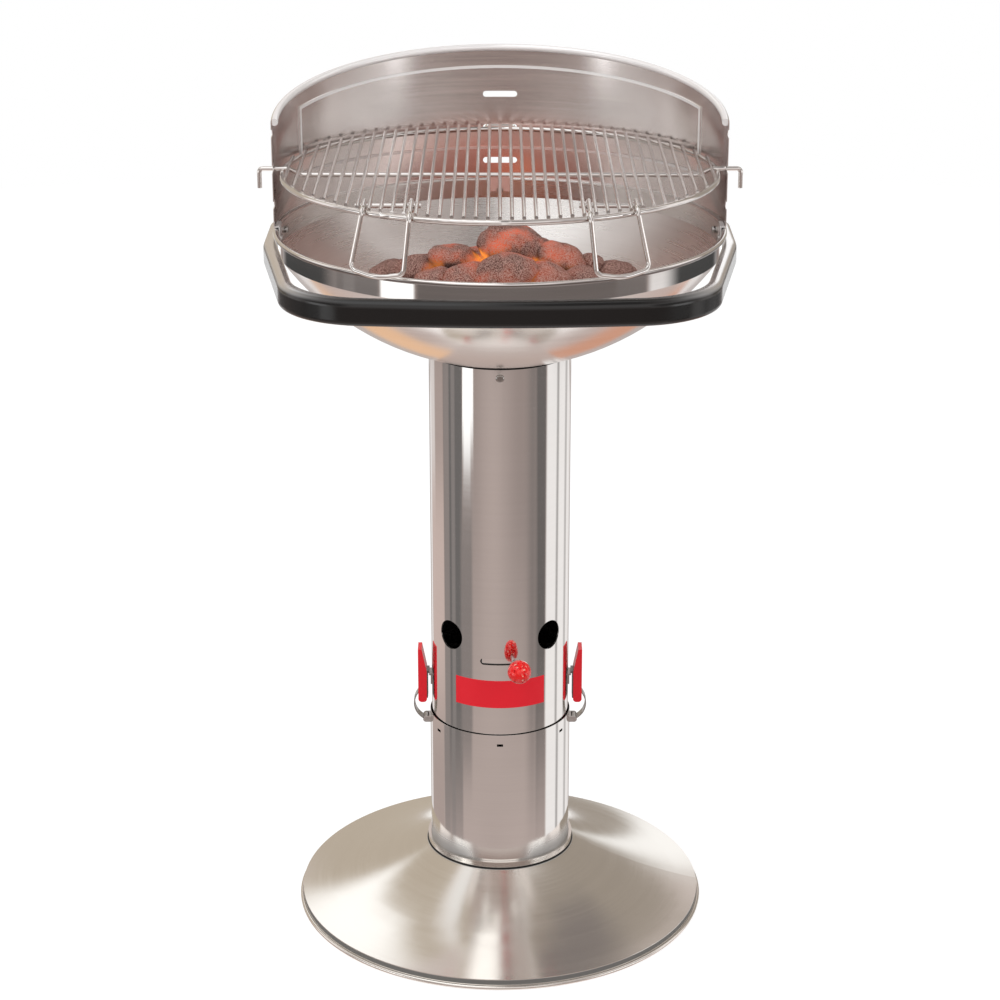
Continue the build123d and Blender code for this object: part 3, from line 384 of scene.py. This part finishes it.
floor_finish = bpy.data.materials.new("pale_floor")
floor_finish.use_nodes = True
tree = floor_finish.node_tree
tree.nodes.clear()
grain = patches(tree, 40.0, 4.0)
greys = [grey(level) for level in FLOOR_GREYS]
matt = add(tree, "BsdfDiffuse", {"Color": blend_colours(tree, grain, *greys)})
path = add(tree, "LightPath").outputs
seen = calc(tree, "MAXIMUM", path["Is Camera Ray"], path["Is Transmission Ray"])
glow = add(tree, "Emission", {"Color": grey(1.0), "Strength": times(tree, seen, FLOOR_GLOW)})
both = add(tree, "AddShader", {0: matt.outputs[0], 1: glow.outputs[0]})
tree.links.new(both.outputs[0], add(tree, "OutputMaterial").inputs["Surface"])
floor_mesh.materials.append(floor_finish)
print("Floor", FLOOR_RADIUS, "m round the grill")

# %% Lamps
def soft_lamp(name, place, target, size, watts):
    """A square soft lamp at a place, turned towards a target, that metal doesn't mirror."""
    data = bpy.data.lights.new(name, "AREA")
    data.size = size
    data.energy = watts
    lamp = bpy.data.objects.new(name, data)
    lamp.location = place
    lamp.rotation_euler = (Vector(target) - Vector(place)).to_track_quat("-Z", "Y").to_euler()
    lamp.visible_glossy = False
    lamp.visible_camera = False
    scene.collection.objects.link(lamp)


soft_lamp("key_lamp", (-1.8, -1.6, 2.8), (0, 0, 0.6), 2.2, 44.0)
soft_lamp("fill_lamp", (2.2, -1.2, 1.8), (0, 0, 0.5), 1.8, 18.0)
print("Two soft lamps")

# %% [markdown]
# ## Steel that was turned, rolled and spun
#
# All the steel here is bare. Its look comes from three things: a warm grey base, how far the grinding
# blurs the mirror image, and the fine lines that the grinding leaves. The lines run round the column,
# so the blur runs across them. That is the shader's anisotropy, turned a quarter from the radial
# direction. A scanned picture of brushed steel could give the lines, but noise squeezed hard along one
# direction does it at any size, and it changes the roughness and the base rather than the shape. What
# is special to one piece comes in as a dress: a function that changes the colour and the roughness.

# %% Steel finish
LINES_ROUND = 4.0
BROAD_LINES = 6


def new_finish(name):
    """A new material with a Principled shader, as (material, tree, shader)."""
    finish = bpy.data.materials.new(name)
    finish.use_nodes = True
    tree = finish.node_tree
    return finish, tree, tree.nodes["Principled BSDF"]


def turned_lines(tree, across):
    """Noise lines round the column: slow along the circle, quick with height and distance from the axis."""
    x, y, z, reach = axis_place(tree)
    climb = times(tree, calc(tree, "ADD", z, reach), across)
    round_x = times(tree, x, LINES_ROUND)
    round_y = times(tree, y, LINES_ROUND)
    vector = add(tree, "CombineXYZ", {0: round_x, 1: round_y, 2: climb}).outputs[0]
    settings = {"Vector": vector, "Scale": 1.0, "Detail": 3.0, "Roughness": 0.6}
    return add(tree, "TexNoise", settings).outputs["Fac"]


def steel_finish(name, base, dull, lines, blur, bump, contrast=0.1, dress=None):
    """Bare ground steel: base colour, roughness, lines per metre, blur across them, their depth."""
    finish, tree, shader = new_finish(name)
    fine = turned_lines(tree, lines)
    broad = turned_lines(tree, lines / BROAD_LINES)
    streak = calc(tree, "MULTIPLY_ADD", broad, 0.5, times(tree, fine, 0.5))
    dark = [channel * (1 - contrast) for channel in base] + [1.0]
    pale = [min(1.0, channel * (1 + contrast)) for channel in base] + [1.0]
    colour = blend_colours(tree, fade(tree, streak, 0.35, 0.65), dark, pale)
    uneven = calc(tree, "MULTIPLY_ADD", streak, 0.6, times(tree, patches(tree, 9.0), 0.4))
    rough = fade(tree, uneven, 0.3, 0.7, dull * 0.8, dull * 1.25)
    shader.inputs["Metallic"].default_value = 1.0
    if dress:
        colour, rough = dress(tree, shader, colour, rough)
    tree.links.new(colour, shader.inputs["Base Color"])
    tree.links.new(rough, shader.inputs["Roughness"])
    relief = add(tree, "Bump", {"Height": streak, "Strength": bump, "Distance": 0.0002})
    tree.links.new(relief.outputs[0], shader.inputs["Normal"])
    tangent = add(tree, "Tangent", direction_type="RADIAL", axis="Z")
    tree.links.new(tangent.outputs[0], shader.inputs["Tangent"])
    shader.inputs["Anisotropic"].default_value = blur
    shader.inputs["Anisotropic Rotation"].default_value = 0.25
    return finish


print("Steel finish ready")

# %% [markdown]
# ## Soot and shade
#
# Inside the chimney the steel is sooty, and what lies nearer to the axis than the sheet's outer skin is
# inside. That takes in the cut edges of the tubes too, and there the same black is a painted shade along
# the joints. The same black, laid thinner, is a painted shade in narrow places: along the edge of the slot
# before the damper, in the crease round the foot's neck, on the low wall over the foot's bead, and low on the
# sides of the tube, where the cone's mirror image is dull. The lamps could make these shades, but the mirror
# images would wash them out, so they are painted into the finish.

# %% Soot and shade masks
# Soot black, which also serves as a painted shade in narrow places and on the cut edges.
SOOT_AND_SHADE_BLACK = (0.012, 0.011, 0.010, 1.0)
SOOT_AND_SHADE_DULLNESS = 0.7
SKIN = 0.0001
UPPER_TUBE_SKIN = 0.0788
LOWER_TUBE_SKIN = 0.0807
DAMPER_SKIN = 0.0776
SLOT_LOW_EDGE = (0.3250, 0.3242)
SLOT_LEFT_EDGE = (-0.0198, -0.0206)
SLOT_ACROSS = (-0.026, 0.030, 0.001)
SLOT_UPRIGHT = (0.320, 0.334, 0.001)
SLOT_FRONT = (-0.04, -0.05)
TUBE_SIDES = (0.018, 0.045)
TUBE_FOOT = (0.104, 0.080)
TUBE_FOOT_SHADE = 0.5
NECK_CREASE = (0.0688, 0.0712, 0.0004)
NECK_REACH = (0.0872, 0.0862)
LOW_WALL = (0.0055, 0.0112, 0.0006)
LOW_WALL_REACH = (0.2325, 0.2333)
LOW_WALL_SHADE = 0.75


def soot_and_painted_shade(mask):
    """A dress that lays soot black where the mask says: soot where the mask is soot, a painted shade where it
    is a shade.
    """
    def dress(tree, shader, colour, rough):
        share = mask(tree)
        tree.links.new(calc(tree, "SUBTRACT", 1.0, share), shader.inputs["Metallic"])
        rough = calc(tree, "MULTIPLY_ADD", share, SOOT_AND_SHADE_DULLNESS, rough)
        return blend_colours(tree, share, colour, SOOT_AND_SHADE_BLACK), rough
    return dress


def soot_and_edge_shade_within(radius):
    """A mask for everything nearer to the column's axis than a radius: soot inside, and a painted shade on
    the cut edges.
    """
    def mask(tree):
        # Soot on the inner wall; the cut edges, inside the outer skin, get the same black as a painted shade.
        return fade(tree, axis_place(tree)[3], radius + SKIN, radius - SKIN)
    return mask


def soot_all(tree):
    """A soot mask that covers nearly all of a piece, in patches."""
    return fade(tree, patches(tree, 60.0), 0.1, 0.35)


def damper_shade(tree):
    """Soot inside the damper ring, and a painted shadow along the low and left edge of the slot before it."""
    x, y, z, reach = axis_place(tree)
    # Painted shadow along the low and left edge of the slot.
    shadow = calc(tree, "MAXIMUM", fade(tree, z, *SLOT_LOW_EDGE), fade(tree, x, *SLOT_LEFT_EDGE))
    slot = times(tree, band(tree, x, *SLOT_ACROSS), band(tree, z, *SLOT_UPRIGHT), fade(tree, y, *SLOT_FRONT))
    return calc(tree, "MAXIMUM", times(tree, shadow, slot), soot_and_edge_shade_within(DAMPER_SKIN)(tree))


def low_tube_shade(tree):
    """Soot inside the lower tube, and a painted shade on the foot of its sides where it meets the cone."""
    x, y, z, reach = axis_place(tree)
    sides = fade(tree, calc(tree, "ABSOLUTE", x), *TUBE_SIDES)
    # Painted shade: the low sides of the tube go darker where the cone's mirror image is dull.
    painted_foot_shade = times(tree, sides, fade(tree, z, *TUBE_FOOT), TUBE_FOOT_SHADE)
    return calc(tree, "MAXIMUM", painted_foot_shade, soot_and_edge_shade_within(LOWER_TUBE_SKIN)(tree))


def foot_shade(tree):
    """A painted shade in the crease where the foot's neck lip rises out of its cone, and on its low wall."""
    x, y, z, reach = axis_place(tree)
    # Painted shade in the crease at the neck and on the low wall over the bead.
    crease = times(tree, band(tree, z, *NECK_CREASE), fade(tree, reach, *NECK_REACH))
    wall = times(tree, band(tree, z, *LOW_WALL), fade(tree, reach, *LOW_WALL_REACH))
    return calc(tree, "MULTIPLY_ADD", wall, LOW_WALL_SHADE, crease)


print("Soot and shade masks ready")

# %% [markdown]
# ## The spun bowl
#
# The bowl is one spun dish. Its inside has been hot and is duller than its outside, the upright band under
# the rim is brighter, and the low half of the rolled rim is darkened with a painted shade. Three materials on
# three sets of faces could say so, but they would meet in hard lines, so one finish changes by height and by
# the side of the sphere that a face looks to.

# %% Bowl dress
BOWL_CENTRE = (0.0, 0.0, 0.95445)
BOWL_DULL = 0.18
BOWL_INNER_DULL = 0.27
INWARD = (0.02, -0.02)
BAND_FOOT = (0.782, 0.787)
BAND_SHINE = 0.3
RIM_SHADE = grey(0.22, 0.12)
RIM_LOW_HALF = (0.8030, 0.8072, 0.0006)
rim_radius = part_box("bowl")[1][0]
RIM_BEAD = (rim_radius - 0.0050, rim_radius - 0.0046)


def bowl_dress(tree, shader, colour, rough):
    """A duller inside, a bright upright band and a painted shade on the low half of the rim."""
    x, y, z, reach = axis_place(tree)
    inside = fade(tree, facing_from(tree, BOWL_CENTRE), *INWARD)
    rough = calc(tree, "MULTIPLY_ADD", inside, BOWL_INNER_DULL - BOWL_DULL, rough)
    bright_band = fade(tree, z, *BAND_FOOT, 1.0, BAND_SHINE)
    rough = times(tree, rough, calc(tree, "MAXIMUM", inside, bright_band))
    # Painted shade on the low half of the rolled rim.
    shade = times(tree, band(tree, z, *RIM_LOW_HALF), fade(tree, reach, *RIM_BEAD))
    return blend_colours(tree, shade, colour, RIM_SHADE), rough


print("Bowl rim of radius", round(rim_radius, 4))

# %% [markdown]
# ## The wind guard
#
# The guard is a brushed sheet. Its ends are painted paler than its middle, a painted reflection. Its rolled
# hem and the pressed rib stand in from the sheet, and they catch light that the flat wall doesn't: on top a
# painted highlight makes them nearly white, below a painted shade makes them dark. Low at the back, on the
# inner face only, the embers' warm red is painted on it. A red lamp in the bowl could do that, but it would
# also redden the grate and the coals, so the sheet glows a little by itself.

# %% Guard dress
# Painted reflection: the ends of the sheet are paler than its middle.
PAINTED_PALE_ENDS = (0.04, 0.14)
END_PAINTED_REFLECTION = grey(0.88, 0.05)
# A painted highlight on what faces up and a painted shade on what faces down, on the rib and the hem.
TURNED_UP = (0.06, 0.35)
TURNED_DOWN = (-0.06, -0.35)
TURNED_DOWN_PAINTED_SHADE = grey(0.30, 0.1)
# A painted highlight on the hem and the rib: whiter and partly matt.
HEM_REACH = (0.2436, 0.2431)
HEM_PAINTED_HIGHLIGHT = grey(0.97, 0.03)
HEM_HIGHLIGHT_MATT_SHARE = 0.7
EMBER_ACROSS = (-0.10, 0.10, 0.10)
EMBER_BACK = (0.06, 0.20)
EMBER_HEIGHT = (0.895, 0.845)
GUARD_MIDDLE = (0.0, 0.0, 0.9)
# The embers' red, painted as a warm tint and a faint glow on the guard's inner face.
EMBER_PAINTED_TINT = (0.86, 0.60, 0.54, 1.0)
EMBER_RED = (1.0, 0.50, 0.43, 1.0)
EMBER_LEVEL = 0.09


def ember_light(tree):
    """Where the embers throw their warm red on the low back of the wind guard."""
    x, y, z, reach = axis_place(tree)
    low_back = times(
        tree, band(tree, x, *EMBER_ACROSS), fade(tree, y, *EMBER_BACK), fade(tree, z, *EMBER_HEIGHT)
    )
    return times(tree, low_back, fade(tree, facing_from(tree, GUARD_MIDDLE), *INWARD))


def guard_dress(tree, shader, colour, rough):
    """Painted paler ends, a painted highlight and shade on the rib and the hem, and the embers' painted red.
    """
    x, y, z, reach = axis_place(tree)
    up = facing_up(tree)
    ends = fade(tree, calc(tree, "ABSOLUTE", x), *PAINTED_PALE_ENDS)
    # Painted reflection on the paler ends.
    colour = blend_colours(tree, ends, colour, END_PAINTED_REFLECTION)
    # Painted highlight on top of the rib and hem, painted shade below.
    colour = blend_colours(tree, fade(tree, up, *TURNED_UP), colour, grey(1.0))
    colour = blend_colours(tree, fade(tree, up, *TURNED_DOWN), colour, TURNED_DOWN_PAINTED_SHADE)
    hem = fade(tree, reach, *HEM_REACH)
    # Painted highlight on the hem.
    colour = blend_colours(tree, hem, colour, HEM_PAINTED_HIGHLIGHT)
    tree.links.new(calc(tree, "MULTIPLY_ADD", hem, -HEM_HIGHLIGHT_MATT_SHARE, 1.0), shader.inputs["Metallic"])
    # Painted red of the embers: tint and glow.
    warm = ember_light(tree)
    shader.inputs["Emission Color"].default_value = EMBER_RED
    tree.links.new(times(tree, warm, EMBER_LEVEL), shader.inputs["Emission Strength"])
    return blend_colours(tree, warm, colour, EMBER_PAINTED_TINT), rough


print("Guard dress ready")

# %% [markdown]
# ## The steel of every piece
#
# Most pieces take the finish of their material slot. A few have their own: the two tubes, the damper ring
# behind its slot, the screws under the bowl, the dark spring levers of the clips, and the wires and the
# collar in the fire, which are black with soot.

# %% Steel finishes
TUBE_STEEL = ((0.90, 0.88, 0.86), 0.06, 900, 0.0, 0.0, 0.01)
FOOT_STEEL = ((0.84, 0.81, 0.765), 0.15, 900, 0.0, 0.0, 0.01)
BOWL_STEEL = ((0.88, 0.86, 0.84), BOWL_DULL, 420, 0.3, 0.004, 0.02)
GUARD_STEEL = ((0.61, 0.555, 0.535), 0.20, 520, 0.5, 0.05, 0.10)
FIRE_STEEL = ((0.3, 0.28, 0.27), 0.4, 600, 0.0, 0.02)

finishes = {
    "polished_steel": steel_finish("polished_foot", *FOOT_STEEL, dress=soot_and_painted_shade(foot_shade)),
    "bowl_steel": steel_finish("spun_bowl", *BOWL_STEEL, dress=bowl_dress),
    "brushed_sheet": steel_finish("brushed_guard", *GUARD_STEEL, dress=guard_dress),
    "plain_steel": steel_finish("zinc_steel", (0.60, 0.59, 0.58), 0.34, 900, 0.2, 0.05, 0.06),
    "clip_steel": steel_finish("spring_steel", (0.42, 0.41, 0.40), 0.28, 900, 0.3, 0.02, 0.03),
    "bright_wire": steel_finish("chromed_wire", (0.80, 0.78, 0.76), 0.07, 600, 0.0, 0.01, 0.03),
}
damper_steel = steel_finish(
    "damper_steel", (0.90, 0.88, 0.86), 0.1, 900, 0.2, 0.02, dress=soot_and_painted_shade(damper_shade)
)
lever_steel = steel_finish("lever_steel", (0.20, 0.20, 0.20), 0.3, 900, 0.3, 0.02)
node_finishes = {
    "upper_tube": steel_finish("polished_tube", *TUBE_STEEL, dress=soot_and_painted_shade(soot_and_edge_shade_within(UPPER_TUBE_SKIN))),
    "lower_tube": steel_finish("polished_base", *TUBE_STEEL, dress=soot_and_painted_shade(low_tube_shade)),
    "damper_ring": damper_steel,
    "collar_screws": steel_finish("dull_screw", (0.40, 0.38, 0.36), 0.2, 600, 0.0, 0.0, 0.03),
    "clip_lever_left": lever_steel,
    "clip_lever_right": lever_steel,
    "paper_grate": steel_finish("sooty_wire", *FIRE_STEEL, dress=soot_and_painted_shade(soot_all)),
    "bowl_collar": steel_finish("sooty_collar", *FIRE_STEEL, dress=soot_and_painted_shade(soot_all)),
    "charcoal_grate": steel_finish(
        "sooty_grate", (0.4, 0.38, 0.36), 0.4, 600, 0.0, 0.02, dress=soot_and_painted_shade(soot_all)
    ),
}
print("Steel finishes:", ", ".join([*finishes, *node_finishes]))

# %% [markdown]
# ## Plastics
#
# The hand rail is satin black, moulded with a fine grain, and the clips' grips are glossy red. A plain
# colour would look like a toy, so the base is a little uneven and the grain breaks up the gloss.

# %% Plastic finish
def plastic_finish(name, base, dull, grain_scale, bump, variation=0.25, gloss=1.5):
    """Moulded plastic with a fine grain and slight unevenness. Gloss is the skin's refraction index."""
    finish, tree, shader = new_finish(name)
    shader.inputs["IOR"].default_value = gloss
    cloud = patches(tree, 14.0)
    grain = patches(tree, grain_scale, 3.0)
    low = [channel * (1 - variation) for channel in base] + [1.0]
    high = [channel * (1 + variation) for channel in base] + [1.0]
    tree.links.new(blend_colours(tree, cloud, low, high), shader.inputs["Base Color"])
    tree.links.new(fade(tree, grain, 0.3, 0.7, dull * 0.85, dull * 1.15), shader.inputs["Roughness"])
    relief = add(tree, "Bump", {"Height": grain, "Strength": bump, "Distance": 0.0001})
    tree.links.new(relief.outputs[0], shader.inputs["Normal"])
    return finish


RED = (0.93, 0.010, 0.026)
finishes["red_grip"] = plastic_finish("red_grip", RED, 0.2, 900.0, 0.02, 0.04)
print("Grips of red plastic")

# %% [markdown]
# ## The black rail
#
# The rail's arms run back towards the white behind the grill, and their top takes a pale sheen from it. A
# strip lamp behind the grill could give it, but it would also flare on the steel. So the sheen is painted
# into
# the finish: a painted highlight that grows towards the back, and only on what faces up.

# %% Rail finish
BLACK = (0.004, 0.004, 0.004)
SHEEN_BACK = (-0.275, -0.19)
SHEEN_UP = (0.25, 0.75)


def rail_finish():
    """The black rail, with a painted pale sheen on the top of its arms, for the light from behind."""
    finish = plastic_finish("black_rail", BLACK, 0.20, 1800.0, 0.02, gloss=1.55)
    tree = finish.node_tree
    shader = tree.nodes["Principled BSDF"]
    y = axis_place(tree)[1]
    # Painted sheen: paler and metallic on the tops of the arms, growing towards the back.
    sheen = times(tree, fade(tree, y, *SHEEN_BACK), fade(tree, facing_up(tree), *SHEEN_UP))
    black = shader.inputs["Base Color"].links[0].from_socket
    tree.links.new(blend_colours(tree, sheen, black, grey(0.9, 0.03)), shader.inputs["Base Color"])
    tree.links.new(sheen, shader.inputs["Metallic"])
    return finish


finishes["black_rail"] = rail_finish()
print("Rail of black plastic")

# %% [markdown]
# ## The knob's red
#
# The knob is clear red plastic, cut like a stone, and each facet flashes light or dark. Real refraction
# through so small a ball would need many samples to come out clean. So the flashes are painted, in small
# cells: each has its own red from a ramp, dark to bright, a few of them nearly white as painted glints.

# %% Knob finish
KNOB_CELLS = 520.0
KNOB_FLASHES = [
    (0.0, (0.50, 0.003, 0.005, 1.0)),
    (0.30, (0.90, 0.006, 0.008, 1.0)),
    (0.72, (1.0, 0.012, 0.012, 1.0)),
    (0.92, (1.0, 0.05, 0.04, 1.0)),
    (0.985, (1.0, 0.40, 0.30, 1.0)),
]


def clear_red_finish():
    """Clear red plastic for the knob, with painted light and dark flashes for its cut."""
    finish, tree, shader = new_finish("clear_red")
    place = add(tree, "TexCoord").outputs["Object"]
    cell = add(tree, "TexVoronoi", {"Vector": place, "Scale": KNOB_CELLS}).outputs["Color"]
    chance = add(tree, "SeparateColor", {"Color": cell}).outputs[0]
    # Painted flashes: each cell takes a red from dark to nearly white.
    tree.links.new(ramp(tree, chance, KNOB_FLASHES), shader.inputs["Base Color"])
    tree.links.new(fade(tree, chance, 0.0, 1.0, 0.03, 0.10), shader.inputs["Roughness"])
    shader.inputs["IOR"].default_value = 1.55
    return finish


finishes["red_knob"] = clear_red_finish()
print("Knob of clear red plastic with", len(KNOB_FLASHES), "reds")

# %% [markdown]
# ## Dressing the nodes
#
# Every node takes its own finish, or else that of its slot. The black rail stays out of the mirror images:
# it runs close round the bowl's band, and the band would mirror nothing but black, where on the real grill
# it shows the bright room above the rail.

# %% Dress the nodes
for row in frame["record"]["subparts"]:
    node = frame["nodes"][row["node"]]
    node.data.materials.clear()
    node.data.materials.append(node_finishes.get(row["node"], finishes[row["material_slot"]]))
    node.visible_glossy = row["material_slot"] != "black_rail"
print("Dressed", len(frame["nodes"]), "nodes")

# %% [markdown]
# ## The cut knob
#
# The solid of the knob is a plain ball. The real one is cut all over in small flat facets, which catch
# the light one by one. A ball of triangles with flat shading is exactly that, so it takes the place of
# the solid and turns with the damper.

# %% Faceted knob
def faceted_ball(name, centre, radius):
    """A ball of small flat triangles."""
    shape = bmesh.new()
    bmesh.ops.create_icosphere(shape, subdivisions=3, radius=radius)
    mesh = bpy.data.meshes.new(name)
    shape.to_mesh(mesh)
    shape.free()
    mesh.transform(Matrix.Translation(centre))
    made = bpy.data.objects.new(name, mesh)
    scene.collection.objects.link(made)
    return made


knob_low, knob_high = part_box("damper_knob")
knob_centre = (Vector(knob_low) + Vector(knob_high)) / 2
knob_radius = max(b - a for a, b in zip(knob_low, knob_high)) / 2
knob = faceted_ball("cut_knob", knob_centre, knob_radius)
knob.data.materials.append(finishes["red_knob"])
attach(knob, "damper")
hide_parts("damper_knob")
print("Knob of radius", round(knob_radius, 4), "with", len(knob.data.polygons), "facets")

# %% [markdown]
# ## Lumps of charcoal
#
# A heap of charcoal lies on the charcoal grate. Each lump could be a plain stone, but lump charcoal is
# rounded and uneven, so a lump here is a flattened ball pushed in and out by noise at two sizes.

# %% Charcoal lump
LUMP_STRETCH = (1.05, 0.86, 0.66)
BIG_SWELL = (1.2, 0.20)
SMALL_SWELL = (4.5, 0.05)


def coal_lump(name, centre, radius, turn, tip):
    """One lump of charcoal as a mesh object."""
    shape = bmesh.new()
    bmesh.ops.create_icosphere(shape, subdivisions=4, radius=1.0)
    shift = Vector((7 * turn + centre[0] * 90, 2.3 * turn + centre[1] * 70, -1.7 * turn))
    for vertex in shape.verts:
        ray = vertex.co.normalized()
        big = noise.noise(ray * BIG_SWELL[0] + shift)
        small = noise.noise(ray * SMALL_SWELL[0] + shift)
        vertex.co = ray * (1 + BIG_SWELL[1] * big + SMALL_SWELL[1] * small)
    stretch = Matrix.Diagonal(LUMP_STRETCH).to_4x4()
    spin = Matrix.Rotation(turn, 4, "Z") @ Matrix.Rotation(tip, 4, "Y")
    bmesh.ops.transform(shape, matrix=spin @ stretch, verts=shape.verts)
    mesh = bpy.data.meshes.new(name)
    shape.to_mesh(mesh)
    shape.free()
    mesh.transform(Matrix.Translation(centre) @ Matrix.Scale(radius, 4))
    for face in mesh.polygons:
        face.use_smooth = True
    lump = bpy.data.objects.new(name, mesh)
    scene.collection.objects.link(lump)
    return lump


print("Charcoal lump ready")

# %% [markdown]
# ## Ash and embers
#
# Burning charcoal is grey-brown ash over black, speckled, and red hot in patches towards the middle of the
# heap. The gaps between lumps get a painted shade, and where the heap is hot they glow orange. A gap belongs
# to no single lump, so its place can't be painted on one. The share of open air round a point finds it:
# little air means a gap.

# %% Charcoal finish
ASH_DARK = (0.14, 0.050, 0.038, 1.0)
ASH_PALE = (0.64, 0.40, 0.34, 1.0)
GAP_PAINTED_SHADE = (0.05, 0.02, 0.015, 1.0)
GAP_REACH = 0.03
GAP_SHADE = 0.8
GAP_GLOW = 0.5
PATCH_GLOW = 0.70
HOT_RED = (1.0, 0.12, 0.02, 1.0)
HOT_ORANGE = (1.0, 0.30, 0.05, 1.0)
HOT_MIDDLE = (0.125, 0.03)


def coal_finish():
    """Grey-brown ash over dark charcoal, with a painted shade in the gaps, glowing red in patches towards the
    middle of the heap.
    """
    finish, tree, shader = new_finish("glowing_charcoal")
    reach = axis_place(tree)[3]
    speck = patches(tree, 900.0, 4.0)
    cloud = patches(tree, 30.0, 3.0)
    colour = blend_colours(tree, fade(tree, speck, 0.38, 0.62), ASH_DARK, ASH_PALE)
    open_air = add(tree, "AmbientOcclusion", {"Distance": GAP_REACH}, samples=8).outputs["AO"]
    gap = fade(tree, open_air, 0.80, 0.30)
    # Painted shade: the colour goes dark in the gaps between lumps.
    colour = blend_colours(tree, times(tree, gap, GAP_SHADE), colour, GAP_PAINTED_SHADE)
    tree.links.new(colour, shader.inputs["Base Color"])
    shader.inputs["Roughness"].default_value = 0.95
    heat = times(tree, fade(tree, reach, *HOT_MIDDLE), fade(tree, cloud, 0.40, 0.64))
    patchy = times(tree, heat, fade(tree, speck, 0.58, 0.44, 0.05, 1.0))
    embers = times(tree, gap, heat, GAP_GLOW)
    glow = calc(tree, "MULTIPLY_ADD", patchy, PATCH_GLOW, embers)
    tree.links.new(glow, shader.inputs["Emission Strength"])
    tree.links.new(blend_colours(tree, gap, HOT_RED, HOT_ORANGE), shader.inputs["Emission Color"])
    relief = add(tree, "Bump", {"Height": speck, "Strength": 0.6, "Distance": 0.001})
    tree.links.new(relief.outputs[0], shader.inputs["Normal"])
    return finish


charcoal = coal_finish()
print("Charcoal finish ready")

# %% [markdown]
# ## The heap
#
# The lumps could be dropped in a simulation, but a heap that falls anew each time is never the one in the
# photograph. So the low lumps are laid in rings from a seeded draw, and the ones on top are placed one by
# one, because they make the heap's outline. The heap lifts with the charcoal grate. A ring is its height
# over the grate, its radius, its count and the lumps' radius. A top lump is a place, a radius and a turn.

# %% Charcoal heap
COAL_RINGS = [
    (0.018, 0.100, 11, 0.027),
    (0.020, 0.046, 6, 0.028),
    (0.046, 0.082, 8, 0.028),
    (0.050, 0.028, 3, 0.030),
]
TOP_COALS = [
    (0.015, 0.010, 0.782, 0.038, 0.1),
    (-0.050, 0.000, 0.768, 0.030, 0.5),
    (0.006, -0.060, 0.770, 0.034, 0.0),
    (0.064, 0.000, 0.768, 0.032, -0.4),
    (0.098, 0.020, 0.759, 0.020, 0.9),
    (-0.082, 0.000, 0.760, 0.026, 0.2),
    (-0.104, 0.020, 0.752, 0.020, -0.3),
    (0.122, 0.020, 0.750, 0.022, 0.3),
    (-0.126, 0.030, 0.748, 0.020, 0.0),
    (0.138, 0.030, 0.746, 0.018, 0.1),
    (-0.022, 0.050, 0.752, 0.030, 1.2),
    (0.044, 0.050, 0.762, 0.030, -0.9),
    (-0.035, -0.052, 0.762, 0.028, 0.7),
    (0.050, -0.055, 0.764, 0.027, -0.6),
    (-0.068, -0.042, 0.757, 0.024, 0.4),
    (0.084, -0.040, 0.757, 0.024, -0.2),
]
coal_draw = random.Random(11)
grate_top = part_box("charcoal_grate")[1][2]
coal_places = []
for rise, ring, count, size in COAL_RINGS:
    for step in range(count):
        turn = 2 * math.pi * step / count + coal_draw.uniform(-0.2, 0.2) + rise * 30
        reach = ring * coal_draw.uniform(0.9, 1.08)
        place = (reach * math.cos(turn), reach * math.sin(turn), grate_top + rise)
        coal_places.append((*place, size * coal_draw.uniform(0.88, 1.12), turn))
coal_places += TOP_COALS
for number, (x, y, z, radius, turn) in enumerate(coal_places, 1):
    lump = coal_lump(f"coal_{number:02d}", (x, y, z), radius, turn, coal_draw.uniform(-0.3, 0.3))
    lump.data.materials.append(charcoal)
    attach(lump, "coal_grate")
print(len(coal_places), "lumps of charcoal")

# %% [markdown]
# ## The bare plate
#
# A small red plate is bent round the upper tube, between the clips. It stays bare here. It could be a
# patch of colour on the tube, but it is a thin sheet with its own thickness, so it is made from rows of
# points on two circles and closed at its edges. It stays out of the mirror images, because the foot would
# stretch it into a long red streak that the real foot doesn't show.

# %% Bare red plate
PLATE_LOW = 0.2707
PLATE_HIGH = 0.3040
PLATE_HALF_TURN = math.radians(38.8)
PLATE_SHEET = 0.0006
PLATE_GAP = 0.0001
PLATE_STEPS = 48


def bent_plate(name, radius, half_turn, steps):
    """A thin plate bent round the column's front, from its inner radius."""
    shape = bmesh.new()
    outer = radius + PLATE_SHEET
    corners = ((radius, PLATE_LOW), (outer, PLATE_LOW), (outer, PLATE_HIGH), (radius, PLATE_HIGH))
    rows = []
    for step in range(steps + 1):
        turn = half_turn * (2 * step / steps - 1)
        row = []
        for reach, level in corners:
            row.append(shape.verts.new((reach * math.sin(turn), -reach * math.cos(turn), level)))
        rows.append(row)
    for first, second in zip(rows, rows[1:]):
        for corner in range(4):
            after = (corner + 1) % 4
            shape.faces.new((first[corner], second[corner], second[after], first[after]))
    shape.faces.new(rows[0])
    shape.faces.new(list(reversed(rows[-1])))
    bmesh.ops.recalc_face_normals(shape, faces=shape.faces)
    mesh = bpy.data.meshes.new(name)
    shape.to_mesh(mesh)
    shape.free()
    made = bpy.data.objects.new(name, mesh)
    scene.collection.objects.link(made)
    return made


tube_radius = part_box("upper_tube")[1][0]
plate = bent_plate("red_plate", tube_radius + PLATE_GAP, PLATE_HALF_TURN, PLATE_STEPS)
plate.data.materials.append(plastic_finish("red_enamel", RED, 0.35, 600.0, 0.01, 0.03))
plate.visible_glossy = False
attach(plate, "stand")
print("Bare plate on a tube of radius", round(tube_radius, 4))

# %% [markdown]
# ## Size
#
# The box of the solids was kept at the start, and it is printed here.

# %% Size and finish
print("Solids", list(cad_low), list(cad_high))
